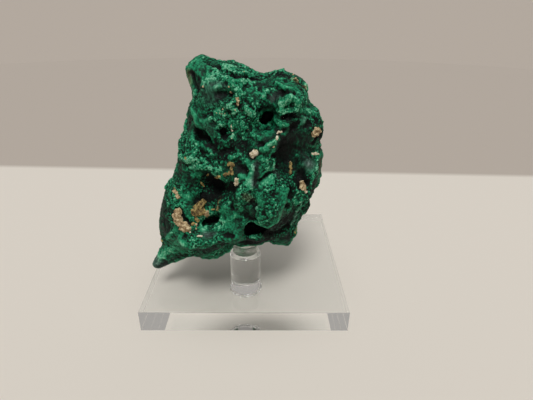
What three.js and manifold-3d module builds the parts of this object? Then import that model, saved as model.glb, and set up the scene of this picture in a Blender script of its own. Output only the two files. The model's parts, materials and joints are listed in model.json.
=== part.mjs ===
// A malachite specimen on a clear cast-acrylic display stand: a square base, a round post and
// a bead of clear tack that the specimen is bedded in.
// Millimetres, +Z up. The origin is the middle of the base's underside, and the specimen's
// best face looks along -Y.

import * as THREE from "three";
import { mergeVertices } from "three/addons/utils/BufferGeometryUtils.js";
import Module from "manifold-3d";

// ---- Driving dimensions ----

const GAP = 0.3; // free space between neighbouring pieces

const BASE = { side: 90, thickness: 10, chamfer: 0.5 };

const POST = { radius: 6.75, chamfer: 0.35, top: 29, y: -27.4, sides: 72 };

// The bead spreads over the post's end and stops short of its edge.
const TACK = { radius: 5.6, height: 3.6, y: -26.4, sides: 28, rings: 6 };

// The widest section of the stone stands nearly upright and leans back as it rises.
const RIM = { y: -26, z: 29, lean: 0.1 };

// The depth of the stone in front of and behind its widest section, and how far in from the
// outline that depth is reached.
const DEPTH = { front: 14.5, back: 24, run: 11 };

// The outline of the widest section as x, z, anticlockwise from the right.
const OUTLINE = [
  [30, 62.5],
  [32.5, 71.5],
  [30.5, 77], // nick in the right edge
  [32.5, 82.5],
  [30, 89.5],
  [25, 93.5],
  [24.8, 100.8], // right shoulder
  [14.5, 105.5], // blunt horn
  [9, 103],
  [4.5, 103.5], // saddle
  [1.5, 106.5],
  [-7.5, 108.5],
  [-10.5, 108],
  [-16, 110.5], // top of the beak
  [-23, 106], // its corner
  [-19, 96], // throat under the beak
  [-22.2, 90.5],
  [-21.5, 84],
  [-26.5, 77.5],
  [-27.5, 68],
  [-30, 62.5],
  [-34.5, 55],
  [-38, 39.5],
  [-38.5, 30.5],
  [-43.8, 20.5], // tip of the spur
  [-42, 17.5],
  [-23, 26],
  [-14.5, 23.5],
  [-4.5, 30.2], // seat over the post
  [3.5, 30.2],
  [12, 33],
  [14.5, 30.5], // small foot right of the post
  [20.5, 31],
  [23, 38],
  [22.5, 41],
  [26.5, 48.5],
  [25.5, 51],
  [27, 53],
];

// Places where the stone is thinner than the body: how wide they are and what share is kept.
const THIN_PLACES = [
  { x: -40, z: 22, reach: 15, keep: 0.32 }, // spur
  { x: -18, z: 105, reach: 9, keep: 0.6 }, // beak
  { x: 20, z: 34, reach: 8, keep: 0.6 }, // foot
];

// Swellings and hollows of each face: a round hill of that reach and rise, or one drawn out
// from x, z to x2, z2.
const FRONT_FORMS = [
  { x: 11.5, z: 57, reach: 7, rise: 5 }, // blocky lump
  { x: 12, z: 82, x2: -5, z2: 58, reach: 5.5, rise: 5 }, // ridge across the middle
  { x: 2, z: 47, x2: -33, z2: 37, reach: 4.5, rise: 5 }, // ridge down to the spur
  { x: 12, z: 94, x2: 22, z2: 96, reach: 4, rise: 4 }, // arch at the right shoulder
  { x: -12, z: 99, x2: -2, z2: 100, reach: 5, rise: 2.5 }, // brow beside the beak
  { x: -14, z: 60, reach: 8, rise: -6 }, // recess on the left
  { x: 19, z: 77, reach: 7, rise: -5 }, // recess on the right
  { x: 22, z: 48, reach: 7, rise: -5 }, // cut-away lower right
  { x: -15, z: 84, x2: -13, z2: 74, reach: 3.5, rise: -3 }, // fold down the left
  { x: -12.5, z: 47.5, reach: 3.5, rise: -6 }, // pit over the spur ridge
];
const BACK_FORMS = [
  { x: 10, z: 88, reach: 12, rise: 5 }, // upper swelling
  { x: 14, z: 58, reach: 11, rise: 4 }, // lower swelling
  { x: -14, z: 48, reach: 10, rise: 3 }, // root of the spur
  { x: -14, z: 86, x2: 4, z2: 68, reach: 6, rise: -6 }, // slanting hollow
  { x: 22, z: 74, reach: 7, rise: -4 },
  { x: -4, z: 44, reach: 6, rise: -3 },
];

// Round-ended holes that run into the stone from a mouth to an end, and how far their mouths
// are rounded over.
const HOLES = [
  { mouth: [9.2, -48, 92.5], end: [9.5, -29, 88], radius: 3.7 }, // open vug
  { mouth: [4.5, -48, 45], end: [3, -32, 48], radius: 3.7 }, // shelter under the lump
];
const MOUTH_ROUNDING = 3;

// The front of the underside slopes back to the seat: where that starts, and over what height
// it turns into the face.
const UNDERSIDE = { z: 34, height: 26 };

// Irregular bumps all over the stone, coarse and fine.
const BUMPS = [
  { size: 9, height: 1.7 },
  { size: 4.5, height: 0.8 },
];

// Size of the cells that the stone's surface is drawn through, which sets its facets.
const CELL = 2.5;

// ---- Helpers ----

const wasm = await Module();
wasm.setup();

const clamp01 = (v) => Math.min(Math.max(v, 0), 1);
const smooth = (t) => t * t * (3 - 2 * t);

// The lesser of two numbers, and less than both where they differ by under the blend.
function softMin(a, b, blend) {
  const nearness = clamp01(1 - Math.abs(a - b) / blend);
  return Math.min(a, b) - (blend / 4) * nearness * nearness;
}

// A geometry's triangles with only their places, and one vertex where several meet.
function weld(geometry) {
  const bare = geometry.clone();
  for (const name of Object.keys(bare.attributes))
    if (name !== "position") bare.deleteAttribute(name);
  return mergeVertices(bare, 1e-4);
}

function toSolid(geometry) {
  const welded = weld(geometry);
  return new wasm.Manifold(
    new wasm.Mesh({
      numProp: 3,
      vertProperties: new Float32Array(welded.attributes.position.array),
      triVerts: new Uint32Array(welded.index.array),
    }),
  );
}

function toGeometry(solid) {
  const mesh = solid.getMesh();
  const geometry = new THREE.BufferGeometry()
    .setAttribute(
      "position",
      new THREE.BufferAttribute(mesh.vertProperties, mesh.numProp),
    )
    .setIndex(new THREE.BufferAttribute(mesh.triVerts, 1));
  geometry.computeVertexNormals();
  return geometry;
}

// Distance from a point to the stretch between a and b, in a plane or in space.
function distanceToStretch(point, a, b) {
  const along = b.map((v, n) => v - a[n]);
  const length2 = along.reduce((sum, v) => sum + v * v, 0) || 1;
  const run = along.reduce((sum, v, n) => sum + v * (point[n] - a[n]), 0);
  const share = clamp01(run / length2);
  return Math.hypot(...point.map((v, n) => v - a[n] - share * along[n]));
}

// A repeatable number from 0 to 1 for a lattice point.
function lattice(i, j, k) {
  const s = Math.sin(i * 127.1 + j * 311.7 + k * 74.7) * 43758.5453;
  return s - Math.floor(s);
}

// Smooth noise from -1 to 1 with hills about one unit across.
function noise(x, y, z) {
  const [i, j, k] = [x, y, z].map(Math.floor);
  const [u, v, w] = [x - i, y - j, z - k].map(smooth);
  const row = (dj, dk) =>
    THREE.MathUtils.lerp(
      lattice(i, j + dj, k + dk),
      lattice(i + 1, j + dj, k + dk),
      u,
    );
  const sheet = (dk) => THREE.MathUtils.lerp(row(0, dk), row(1, dk), v);
  return 2 * THREE.MathUtils.lerp(sheet(0), sheet(1), w) - 1;
}

// ---- The stone ----

function isInsideOutline(x, z) {
  return OUTLINE.reduce((inside, [ax, az], n) => {
    const [bx, bz] = OUTLINE[(n + 1) % OUTLINE.length];
    const crosses = az > z !== bz > z && x < ax + ((z - az) / (bz - az)) * (bx - ax);
    return crosses ? !inside : inside;
  }, false);
}

// How far x, z is inside the outline, or outside it if negative. Inside, far stretches of the
// outline count a little too, which rounds the creases that would run in from its corners.
function inwardness(x, z) {
  const distances = OUTLINE.map((corner, n) =>
    distanceToStretch([x, z], corner, OUTLINE[(n + 1) % OUTLINE.length]),
  );
  if (!isInsideOutline(x, z)) return -Math.min(...distances);
  const sharpness = 4;
  const sum = distances.reduce((s, d) => s + Math.max(d, 1e-3) ** -sharpness, 0);
  return sum ** (-1 / sharpness);
}

function formsAt(forms, x, z) {
  return forms.reduce((sum, form) => {
    const { x2 = form.x, z2 = form.z } = form;
    const away = distanceToStretch([x, z], [form.x, form.z], [x2, z2]);
    return sum + form.rise * Math.exp(-((away / form.reach) ** 2));
  }, 0);
}

function thinning(x, z) {
  return THIN_PLACES.reduce((share, place) => {
    const away = Math.hypot(x - place.x, z - place.z) / place.reach;
    return share * (1 - (1 - place.keep) * Math.exp(-away * away));
  }, 1);
}

// What the stone's outline, depths and forms give over x, z.
function sectionAt(x, z) {
  const thin = thinning(x, z);
  return {
    inward: inwardness(x, z),
    rimY: RIM.y + RIM.lean * (z - RIM.z),
    front: thin * (DEPTH.front + formsAt(FRONT_FORMS, x, z)),
    back: thin * (DEPTH.back + formsAt(BACK_FORMS, x, z)),
  };
}

// Above 0 inside the stone and below 0 outside, roughly in millimetres.
function stoneField(section, x, y, z) {
  const isFront = y < section.rimY;
  const depth = isFront ? section.front : section.back;
  const reached = Math.abs(y - section.rimY) / depth;
  const round = 1 - Math.sqrt(1 - Math.min(reached, 1) ** 2);
  const slope = isFront ? 1 - smooth(clamp01((z - UNDERSIDE.z) / UNDERSIDE.height)) : 0;
  const edge = THREE.MathUtils.lerp(round, reached, slope);
  const body = Math.min(section.inward - DEPTH.run * edge, (1 - reached) * depth);
  const bumps = BUMPS.reduce(
    (sum, { size, height }) => sum + height * noise(x / size, y / size, z / size),
    0,
  );
  const solid = body + bumps * clamp01(section.inward / 3);
  return HOLES.reduce(
    (left, { mouth, end, radius }) =>
      softMin(left, distanceToStretch([x, y, z], mouth, end) - radius, MOUTH_ROUNDING),
    solid,
  );
}

// Where two parts of a surface would touch along a grid edge or at a corner, one of the points
// between them is filled to that value, until none is left.
function fillTouchings(values, steps, filled) {
  const isIn = (point) => values[point] > 0;
  const squares = [
    [steps[0], steps[1]],
    [steps[1], steps[2]],
    [steps[0], steps[2]],
  ];
  const span = steps[0] + steps[1] + steps[2];
  const corners = Array.from({ length: 8 }, (_, c) =>
    steps.reduce((sum, step, axis) => sum + (c & (1 << axis) ? step : 0), 0),
  );
  let isChanged = true;
  while (isChanged) {
    isChanged = false;
    for (let point = 0; point + span < values.length; point++) {
      for (const [u, v] of squares) {
        const [a, b, c, d] = [point, point + u, point + u + v, point + v];
        if (isIn(a) !== isIn(c) || isIn(b) !== isIn(d) || isIn(a) === isIn(b)) continue;
        const [first, second] = isIn(a) ? [b, d] : [a, c];
        values[values[first] > values[second] ? first : second] = filled;
        isChanged = true;
      }
      const cornersIn = corners.filter((c) => isIn(point + c));
      const cornersOut = corners.filter((c) => !isIn(point + c));
      const isPair = (pair) => pair.length === 2 && pair[0] + pair[1] === span;
      if (!isPair(cornersIn) && !isPair(cornersOut)) continue;
      values[point + cornersOut[0]] = filled;
      isChanged = true;
    }
  }
}

// The closed surface where a field is 0, as one vertex in each cell of a grid that the surface
// passes through and two triangles across each grid edge that it cuts.
function drawThroughCells(low, counts, cell, fieldAlong) {
  const [nx, ny, nz] = counts;
  const values = new Float32Array(nx * ny * nz);
  const at = (i, j, k) => i + nx * (j + ny * k);
  for (let k = 0; k < nz; k++)
    for (let i = 0; i < nx; i++) {
      const field = fieldAlong(low[0] + i * cell, low[2] + k * cell);
      for (let j = 0; j < ny; j++) values[at(i, j, k)] = field(low[1] + j * cell);
    }

  const steps = [1, nx, nx * ny];
  fillTouchings(values, steps, 0.1 * cell);
  const corners = Array.from({ length: 8 }, (_, c) => [c & 1, (c >> 1) & 1, c >> 2]);
  const edges = corners.flatMap((from, c) =>
    [0, 1, 2].filter((axis) => !from[axis]).map((axis) => [c, c | (1 << axis), axis]),
  );
  const vertexOf = new Map();
  const positions = [];
  for (let k = 0; k + 1 < nz; k++)
    for (let j = 0; j + 1 < ny; j++)
      for (let i = 0; i + 1 < nx; i++) {
        const cornerValue = corners.map(([a, b, c]) => values[at(i + a, j + b, k + c)]);
        const cuts = edges
          .filter(([a, b]) => cornerValue[a] > 0 !== cornerValue[b] > 0)
          .map(([a, b, axis]) => {
            const place = [...corners[a]];
            place[axis] = cornerValue[a] / (cornerValue[a] - cornerValue[b]);
            return place;
          });
        if (!cuts.length) continue;
        vertexOf.set(at(i, j, k), positions.length / 3);
        [i, j, k].forEach((index, axis) => {
          const middle = cuts.reduce((sum, cut) => sum + cut[axis], 0) / cuts.length;
          positions.push(low[axis] + (index + middle) * cell);
        });
      }

  const triangles = [];
  for (let from = 0; from < values.length; from++)
    for (let axis = 0; axis < 3; axis++) {
      const to = from + steps[axis];
      if (!(values[from] > 0) === !(values[to] > 0)) continue;
      const [u, v] = [steps[(axis + 1) % 3], steps[(axis + 2) % 3]];
      const ring = [from - u - v, from - v, from, from - u].map((c) => vertexOf.get(c));
      if (ring.includes(undefined)) continue;
      if (!(values[from] > 0)) ring.reverse();
      const [a, b, c, d] = ring;
      triangles.push(a, b, c, a, c, d);
    }
  return new THREE.BufferGeometry()
    .setAttribute("position", new THREE.Float32BufferAttribute(positions, 3))
    .setIndex(triangles);
}

function makeStone() {
  const [xs, zs] = [0, 1].map((axis) => OUTLINE.map((corner) => corner[axis]));
  const margin = 3 * CELL;
  const low = [Math.min(...xs), RIM.y - 1.6 * DEPTH.front, Math.min(...zs)].map((v) => v - margin);
  const high = [Math.max(...xs), RIM.y + 1.6 * DEPTH.back, Math.max(...zs)].map((v) => v + margin);
  const counts = low.map((v, axis) => Math.ceil((high[axis] - v) / CELL) + 1);
  return toSolid(
    drawThroughCells(low, counts, CELL, (x, z) => {
      const section = sectionAt(x, z);
      return (y) => stoneField(section, x, y, z);
    }),
  );
}

// ---- The stand ----

function makeBase() {
  const { side, thickness, chamfer } = BASE;
  const half = side / 2 - chamfer;
  const square = new THREE.Shape([
    new THREE.Vector2(-half, -half),
    new THREE.Vector2(half, -half),
    new THREE.Vector2(half, half),
    new THREE.Vector2(-half, half),
  ]);
  return new THREE.ExtrudeGeometry(square, {
    depth: thickness - 2 * chamfer,
    bevelSize: chamfer,
    bevelThickness: chamfer,
    bevelSegments: 1,
  }).translate(0, 0, chamfer);
}

// A solid turned round +Z from points of radius and height that start and end on its axis.
function turn(profile, sides) {
  const points = profile.map(([radius, z]) => new THREE.Vector2(radius, z));
  return new THREE.LatheGeometry(points, sides).rotateX(Math.PI / 2);
}

function makePost() {
  const { radius, chamfer, top, sides } = POST;
  const foot = BASE.thickness + GAP;
  const profile = [
    [0, foot],
    [radius - chamfer, foot],
    [radius, foot + chamfer],
    [radius, top - chamfer],
    [radius - chamfer, top],
    [0, top],
  ];
  return turn(profile, sides).translate(0, POST.y, 0);
}

// A bead with round sides, pressed to the stone's shape where the stone sits in it.
function makeTack(stone) {
  const { radius, height, y, sides, rings } = TACK;
  const foot = POST.top + GAP;
  const profile = [[0, foot]];
  for (let ring = 0; ring <= rings; ring++) {
    const turned = (ring / rings) * (Math.PI / 2);
    profile.push([
      radius * (0.72 + 0.28 * Math.cos(turned)),
      foot + height * Math.sin(turned),
    ]);
  }
  profile.push([0, foot + height]);
  const bead = toSolid(turn(profile, sides).translate(0, y, 0));
  return toGeometry(bead.subtract(stone.translate([0, 0, -GAP])));
}

// ---- Assembly ----

function addPiece(group, name, geometry, material) {
  const mesh = new THREE.Mesh(
    geometry,
    new THREE.MeshStandardMaterial(material),
  );
  mesh.name = name;
  group.add(mesh);
}

const stone = makeStone();
const clear = { roughness: 0.05, metalness: 0, transparent: true };
const specimenOnStand = new THREE.Group();
addPiece(specimenOnStand, "base_plate", makeBase(), {
  ...clear,
  color: 0xe6e6e2,
  opacity: 0.35,
});
addPiece(specimenOnStand, "post", makePost(), {
  ...clear,
  color: 0xe6e6e2,
  opacity: 0.35,
});
addPiece(specimenOnStand, "mineral_tack", makeTack(stone), {
  ...clear,
  color: 0xf2f0e8,
  opacity: 0.6,
});
addPiece(specimenOnStand, "malachite", toGeometry(stone), {
  color: 0x12573f,
  roughness: 0.75,
  metalness: 0,
});

export default specimenOnStand;
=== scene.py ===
"""A malachite specimen on its clear acrylic stand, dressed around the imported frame.

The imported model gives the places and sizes. This script makes the stone's fine surface, the
grains that grow on it, the polished stand, the floor, the light and the camera.
"""

import json
import logging
import math
from dataclasses import dataclass, field, replace
from enum import Enum
from itertools import product

import bpy
import numpy as np
from mathutils import Matrix, Vector
from mathutils.bvhtree import BVHTree

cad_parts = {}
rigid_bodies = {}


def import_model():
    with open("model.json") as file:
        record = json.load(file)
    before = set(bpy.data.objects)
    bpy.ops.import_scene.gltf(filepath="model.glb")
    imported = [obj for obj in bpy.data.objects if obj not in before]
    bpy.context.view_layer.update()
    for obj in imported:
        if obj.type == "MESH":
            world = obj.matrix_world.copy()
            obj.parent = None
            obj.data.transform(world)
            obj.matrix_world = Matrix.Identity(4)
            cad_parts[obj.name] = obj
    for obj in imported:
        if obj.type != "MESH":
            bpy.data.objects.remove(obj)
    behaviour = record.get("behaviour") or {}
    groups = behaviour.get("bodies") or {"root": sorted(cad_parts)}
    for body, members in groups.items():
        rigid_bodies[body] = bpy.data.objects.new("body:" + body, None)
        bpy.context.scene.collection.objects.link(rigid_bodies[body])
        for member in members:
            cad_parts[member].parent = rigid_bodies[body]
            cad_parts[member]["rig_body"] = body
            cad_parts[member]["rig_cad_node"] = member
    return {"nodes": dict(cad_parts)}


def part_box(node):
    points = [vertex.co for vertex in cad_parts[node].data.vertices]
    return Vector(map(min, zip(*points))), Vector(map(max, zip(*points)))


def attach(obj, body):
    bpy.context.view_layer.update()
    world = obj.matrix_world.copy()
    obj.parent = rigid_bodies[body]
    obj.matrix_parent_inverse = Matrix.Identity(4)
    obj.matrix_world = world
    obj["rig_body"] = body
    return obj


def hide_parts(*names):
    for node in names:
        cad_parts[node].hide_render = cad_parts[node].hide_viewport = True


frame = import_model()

log = logging.getLogger("malachite")

MM = 0.001
BODY = "root"
MERGE_WITHIN = 0.01 * MM

# In millimetres along Y: a place well in front of the stone, and its widest section.
FAR_IN_FRONT = -200.0
RIM = -26.0

Point = tuple[float, float, float]


# ---- Small helpers ----


def linear(code: str) -> tuple[float, float, float, float]:
    """Turns an sRGB colour into the linear one that shaders take.

    Args:
        code: The colour as six hex digits after a #.

    Returns:
        Red, green, blue and an alpha of 1, linear.
    """
    shares = [int(code[n : n + 2], 16) / 255 for n in (1, 3, 5)]
    red, green, blue = [s / 12.92 if s <= 0.04045 else ((s + 0.055) / 1.055) ** 2.4 for s in shares]
    return red, green, blue, 1.0


def smoothstep(low: float, high: float, values: np.ndarray) -> np.ndarray:
    """Rises smoothly from 0 at low to 1 at high.

    Args:
        low: Where the rise starts.
        high: Where it ends.
        values: The numbers to read it at.

    Returns:
        A share from 0 to 1 for each value.
    """
    share = np.clip((values - low) / (high - low), 0, 1)
    return share * share * (3 - 2 * share)


def distance_to_stretch(points: np.ndarray, start: Point, end: Point) -> np.ndarray:
    """Measures how far points are from the straight stretch between two places.

    Args:
        points: One row of x, y, z for each point.
        start: One end of the stretch.
        end: The other end, which may be the same place.

    Returns:
        One distance for each point.
    """
    first, along = np.array(start), np.subtract(end, start)
    length2 = max(float(along @ along), 1e-9)
    share = np.clip((points - first) @ along / length2, 0, 1)
    return np.linalg.norm(points - first - share[:, None] * along, axis=1)


def only(obj: bpy.types.Object) -> None:
    """Makes an object the one that is selected and active.

    Args:
        obj: The object.
    """
    if bpy.context.object and bpy.context.object.mode != "OBJECT":
        bpy.ops.object.mode_set(mode="OBJECT")
    bpy.ops.object.select_all(action="DESELECT")
    obj.hide_set(False)
    obj.select_set(True)
    bpy.context.view_layer.objects.active = obj


def finish_with(obj: bpy.types.Object, kind: str, **settings: object) -> None:
    """Adds a modifier to a mesh object and applies it.

    Args:
        obj: The object.
        kind: The modifier's type.
        **settings: The modifier's settings by name.
    """
    only(obj)
    bpy.ops.object.modifier_add(type=kind)
    modifier = obj.modifiers[-1]
    for name, value in settings.items():
        setattr(modifier, name, value)
    bpy.ops.object.modifier_apply(modifier=modifier.name)


def remesh(obj: bpy.types.Object, voxel_mm: float) -> None:
    """Redraws a closed mesh with even faces of that size."""
    finish_with(obj, "REMESH", mode="VOXEL", voxel_size=voxel_mm * MM, use_smooth_shade=True)


def add_node(
    tree: bpy.types.NodeTree,
    kind: str,
    settings: dict[str, object] | None = None,
    links: dict[str | int, object] | None = None,
    stops: dict[float, str] | None = None,
) -> bpy.types.Node:
    """Adds a node to a shader tree.

    Args:
        tree: The material's or world's node tree.
        kind: The node's type, without its ShaderNode prefix.
        settings: The node's own properties by name.
        links: For each input, a number or colour to set, or another node's output to link.
        stops: For a colour ramp, the colour at each place from 0 to 1.

    Returns:
        The new node.
    """
    node = tree.nodes.new(f"ShaderNode{kind}")
    for name, value in (settings or {}).items():
        setattr(node, name, value)
    for name, value in (links or {}).items():
        if isinstance(value, bpy.types.NodeSocket):
            tree.links.new(value, node.inputs[name])
        else:
            node.inputs[name].default_value = value
    for number, (place, code) in enumerate((stops or {}).items()):
        elements = node.color_ramp.elements
        element = elements[number] if number < len(elements) else elements.new(place)
        element.position = place
        element.color = linear(code)
    return node


def new_material(name: str) -> tuple[bpy.types.Material, bpy.types.NodeTree, bpy.types.Node]:
    """Starts a material with only an output.

    Args:
        name: The material's name.

    Returns:
        The material, its node tree and its output node.
    """
    material = bpy.data.materials.new(name)
    material.use_nodes = True
    material.node_tree.nodes.clear()
    return material, material.node_tree, add_node(material.node_tree, "OutputMaterial")


def dress(obj: bpy.types.Object, material: bpy.types.Material) -> None:
    """Gives an object that one material."""
    obj.data.materials.clear()
    obj.data.materials.append(material)


def merged_copy(node: str, name: str) -> bpy.types.Object:
    """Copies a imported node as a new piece, with its triangles' shared corners merged.

    Args:
        node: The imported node's name.
        name: The new piece's name.

    Returns:
        The copy, with no parent and no place in the frame yet.
    """
    only(frame["nodes"][node])
    bpy.ops.object.duplicate()
    piece = bpy.context.object
    piece.parent = None
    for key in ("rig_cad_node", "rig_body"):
        del piece[key]
    piece.name = piece.data.name = name
    bpy.ops.object.mode_set(mode="EDIT")
    bpy.ops.mesh.select_all(action="SELECT")
    bpy.ops.mesh.remove_doubles(threshold=MERGE_WITHIN)
    bpy.ops.object.mode_set(mode="OBJECT")
    return piece


def seat_on_face(tree: BVHTree, x: float, z: float) -> tuple[Vector, Vector]:
    """Finds the stone's surface behind x and z, or what is nearest where the stone isn't.

    Args:
        tree: The stone's surface.
        x: How far right, in millimetres.
        z: How far up, in millimetres.

    Returns:
        The place in metres, and the way the surface faces there.
    """
    place, normal, _, _ = tree.ray_cast(Vector((x, FAR_IN_FRONT, z)) * MM, Vector((0, 1, 0)))
    if place is None:
        place, normal, _, _ = tree.find_nearest(Vector((x, RIM, z)) * MM)
    return place, normal


# ---- Noise over space ----


class Noise:
    """Repeatable noise over space, worked out for many points at once.

    Where a whole number is added to the points, it only moves to another part of the noise, so
    that two patterns of one size don't fall together.
    """

    def __init__(self, seed: int) -> None:
        """Draws the tables that the noise is looked up in.

        Args:
            seed: The number that all draws follow from.
        """
        rng = np.random.default_rng(seed)
        self._order = rng.permutation(256)
        slopes = rng.normal(size=(256, 3))
        self._slopes = slopes / np.linalg.norm(slopes, axis=1, keepdims=True)
        self._seeds = rng.random((256, 3))

    def _pick(self, cells: np.ndarray) -> np.ndarray:
        """Gives each cell its own number.

        Args:
            cells: One row of whole x, y, z for each cell.

        Returns:
            A number from 0 to 255 for each cell.
        """
        order = self._order
        first = order[cells[:, 0] & 255]
        second = order[(first + cells[:, 1]) & 255]
        return order[(second + cells[:, 2]) & 255]

    def hills(self, points: np.ndarray) -> np.ndarray:
        """Smooth hills and hollows about one unit across.

        Args:
            points: One row of x, y, z for each point.

        Returns:
            A height for each point, about -1 to 1.
        """
        cells = np.floor(points).astype(int)
        within = points - cells
        eased = within**3 * (within * (within * 6 - 15) + 10)
        total = np.zeros(len(points))
        for corner in product((0, 1), repeat=3):
            offset = np.array(corner)
            weight = np.prod(np.where(offset, eased, 1 - eased), axis=1)
            slope = self._slopes[self._pick(cells + offset)]
            total += weight * ((within - offset) * slope).sum(axis=1)
        return total * 1.6

    def warp(self, points: np.ndarray) -> np.ndarray:
        """Three unlike heights for each point, to bend other noise with."""
        return np.stack([self.hills(points + 17.3 * axis) for axis in range(3)], axis=1)

    def fractal(self, points: np.ndarray, octaves: int) -> np.ndarray:
        """Hills with smaller hills on them, about -1 to 1."""
        return sum(self.hills(points * 2**n + 5.1 * n) / 2**n for n in range(octaves)) / 1.5

    def ridges(self, points: np.ndarray, octaves: int) -> np.ndarray:
        """A net of narrow crests between wide hollows.

        Args:
            points: One row of x, y, z for each point.
            octaves: How many finer nets are added.

        Returns:
            A height for each point, 0 to 1.
        """
        total, reach = np.zeros(len(points)), 0.0
        for n in range(octaves):
            crest = (1 - np.abs(self.hills(points * 2**n + 9.7 * n))) ** 2
            total += crest / 2**n
            reach += 1 / 2**n
        return total / reach

    def beads(self, points: np.ndarray) -> np.ndarray:
        """Rounded beads, one in each unit cell, that meet in sharp valleys.

        Args:
            points: One row of x, y, z for each point.

        Returns:
            A height for each point, 1 on a bead's top and falling to 0 in the valleys.
        """
        cells = np.floor(points).astype(int)
        nearest = np.full(len(points), 9.0)
        for corner in product((-1, 0, 1), repeat=3):
            neighbour = cells + np.array(corner)
            spot = neighbour + self._seeds[self._pick(neighbour)]
            nearest = np.minimum(nearest, ((points - spot) ** 2).sum(axis=1))
        return np.clip(1 - nearest, 0, 1)

    def shards(self, points: np.ndarray) -> tuple[np.ndarray, np.ndarray]:
        """Small crystals, one in each unit cell, each tilted its own way.

        Args:
            points: One row of x, y, z for each point.

        Returns:
            A height for each point, about -1 to 1, and the crystal's own number from 0 to 1.
        """
        cells = np.floor(points).astype(int)
        nearest = np.full(len(points), 9.0)
        height, own = np.zeros(len(points)), np.zeros(len(points))
        for corner in product((-1, 0, 1), repeat=3):
            neighbour = cells + np.array(corner)
            which = self._pick(neighbour)
            offset = points - neighbour - self._seeds[which]
            away = (offset**2).sum(axis=1)
            closer = away < nearest
            nearest[closer] = away[closer]
            tilt = (offset[closer] * self._slopes[which[closer]]).sum(axis=1)
            own[closer] = self._seeds[which[closer], 0]
            height[closer] = 0.6 - 1.1 * away[closer] + 0.9 * tilt + 0.5 * (own[closer] - 0.5)
        return height, own


# ---- The stone ----


class Surface:
    """A mesh's points, normals and edges as arrays, in millimetres."""

    def __init__(self, obj: bpy.types.Object) -> None:
        """Reads them from a mesh object.

        Args:
            obj: The object, which sits at the origin.
        """
        self.mesh = obj.data
        count = len(self.mesh.vertices)
        flat = np.empty(count * 3, np.float32)
        self.mesh.vertices.foreach_get("co", flat)
        self.points = flat.reshape(-1, 3).astype(float) / MM
        self.mesh.vertex_normals.foreach_get("vector", flat)
        self.normals = flat.reshape(-1, 3).astype(float)
        ends = np.empty(len(self.mesh.edges) * 2, np.int32)
        self.mesh.edges.foreach_get("vertices", ends)
        pairs = ends.reshape(-1, 2)
        self._from = np.concatenate([pairs[:, 0], pairs[:, 1]])
        self._to = np.concatenate([pairs[:, 1], pairs[:, 0]])
        self._degree = np.maximum(np.bincount(self._from, minlength=count), 1)

    def blur(self, values: np.ndarray, rounds: int) -> np.ndarray:
        """Evens out values over the surface.

        Args:
            values: One row for each point.
            rounds: How many times each point takes its neighbours' mean.

        Returns:
            The evened values.
        """
        rows = values if values.ndim == 2 else values[:, None]
        for _ in range(rounds):
            sums = [np.bincount(self._from, column[self._to], len(rows)) for column in rows.T]
            rows = 0.4 * rows + 0.6 * np.stack(sums, axis=1) / self._degree[:, None]
        return rows if values.ndim == 2 else rows[:, 0]

    def relief(self, rounds: int) -> np.ndarray:
        """How far each point stands out of the evened surface, in millimetres."""
        return ((self.points - self.blur(self.points, rounds)) * self.normals).sum(axis=1)

    def write(self) -> None:
        """Puts the points back into the mesh."""
        self.mesh.vertices.foreach_set("co", (self.points * MM).astype(np.float32).ravel())
        self.mesh.update()

    def store(self, name: str, values: np.ndarray) -> None:
        """Keeps values in the mesh as an attribute.

        Args:
            name: The attribute's name.
            values: One number or one vector for each point.
        """
        kind, key = ("FLOAT", "value") if values.ndim == 1 else ("FLOAT_VECTOR", "vector")
        attribute = self.mesh.attributes.new(name, kind, "POINT")
        attribute.data.foreach_set(key, values.astype(np.float32).ravel())


@dataclass(frozen=True)
class Form:
    """A large swelling or hollow of the stone along a stretch, in millimetres."""

    start: Point
    end: Point
    reach: float
    rise: float

    def share(self, points: np.ndarray) -> np.ndarray:
        """How much of the form each point takes, from 0 to 1."""
        away = distance_to_stretch(points, self.start, self.end) / self.reach
        return np.exp(-(away**2))


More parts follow.
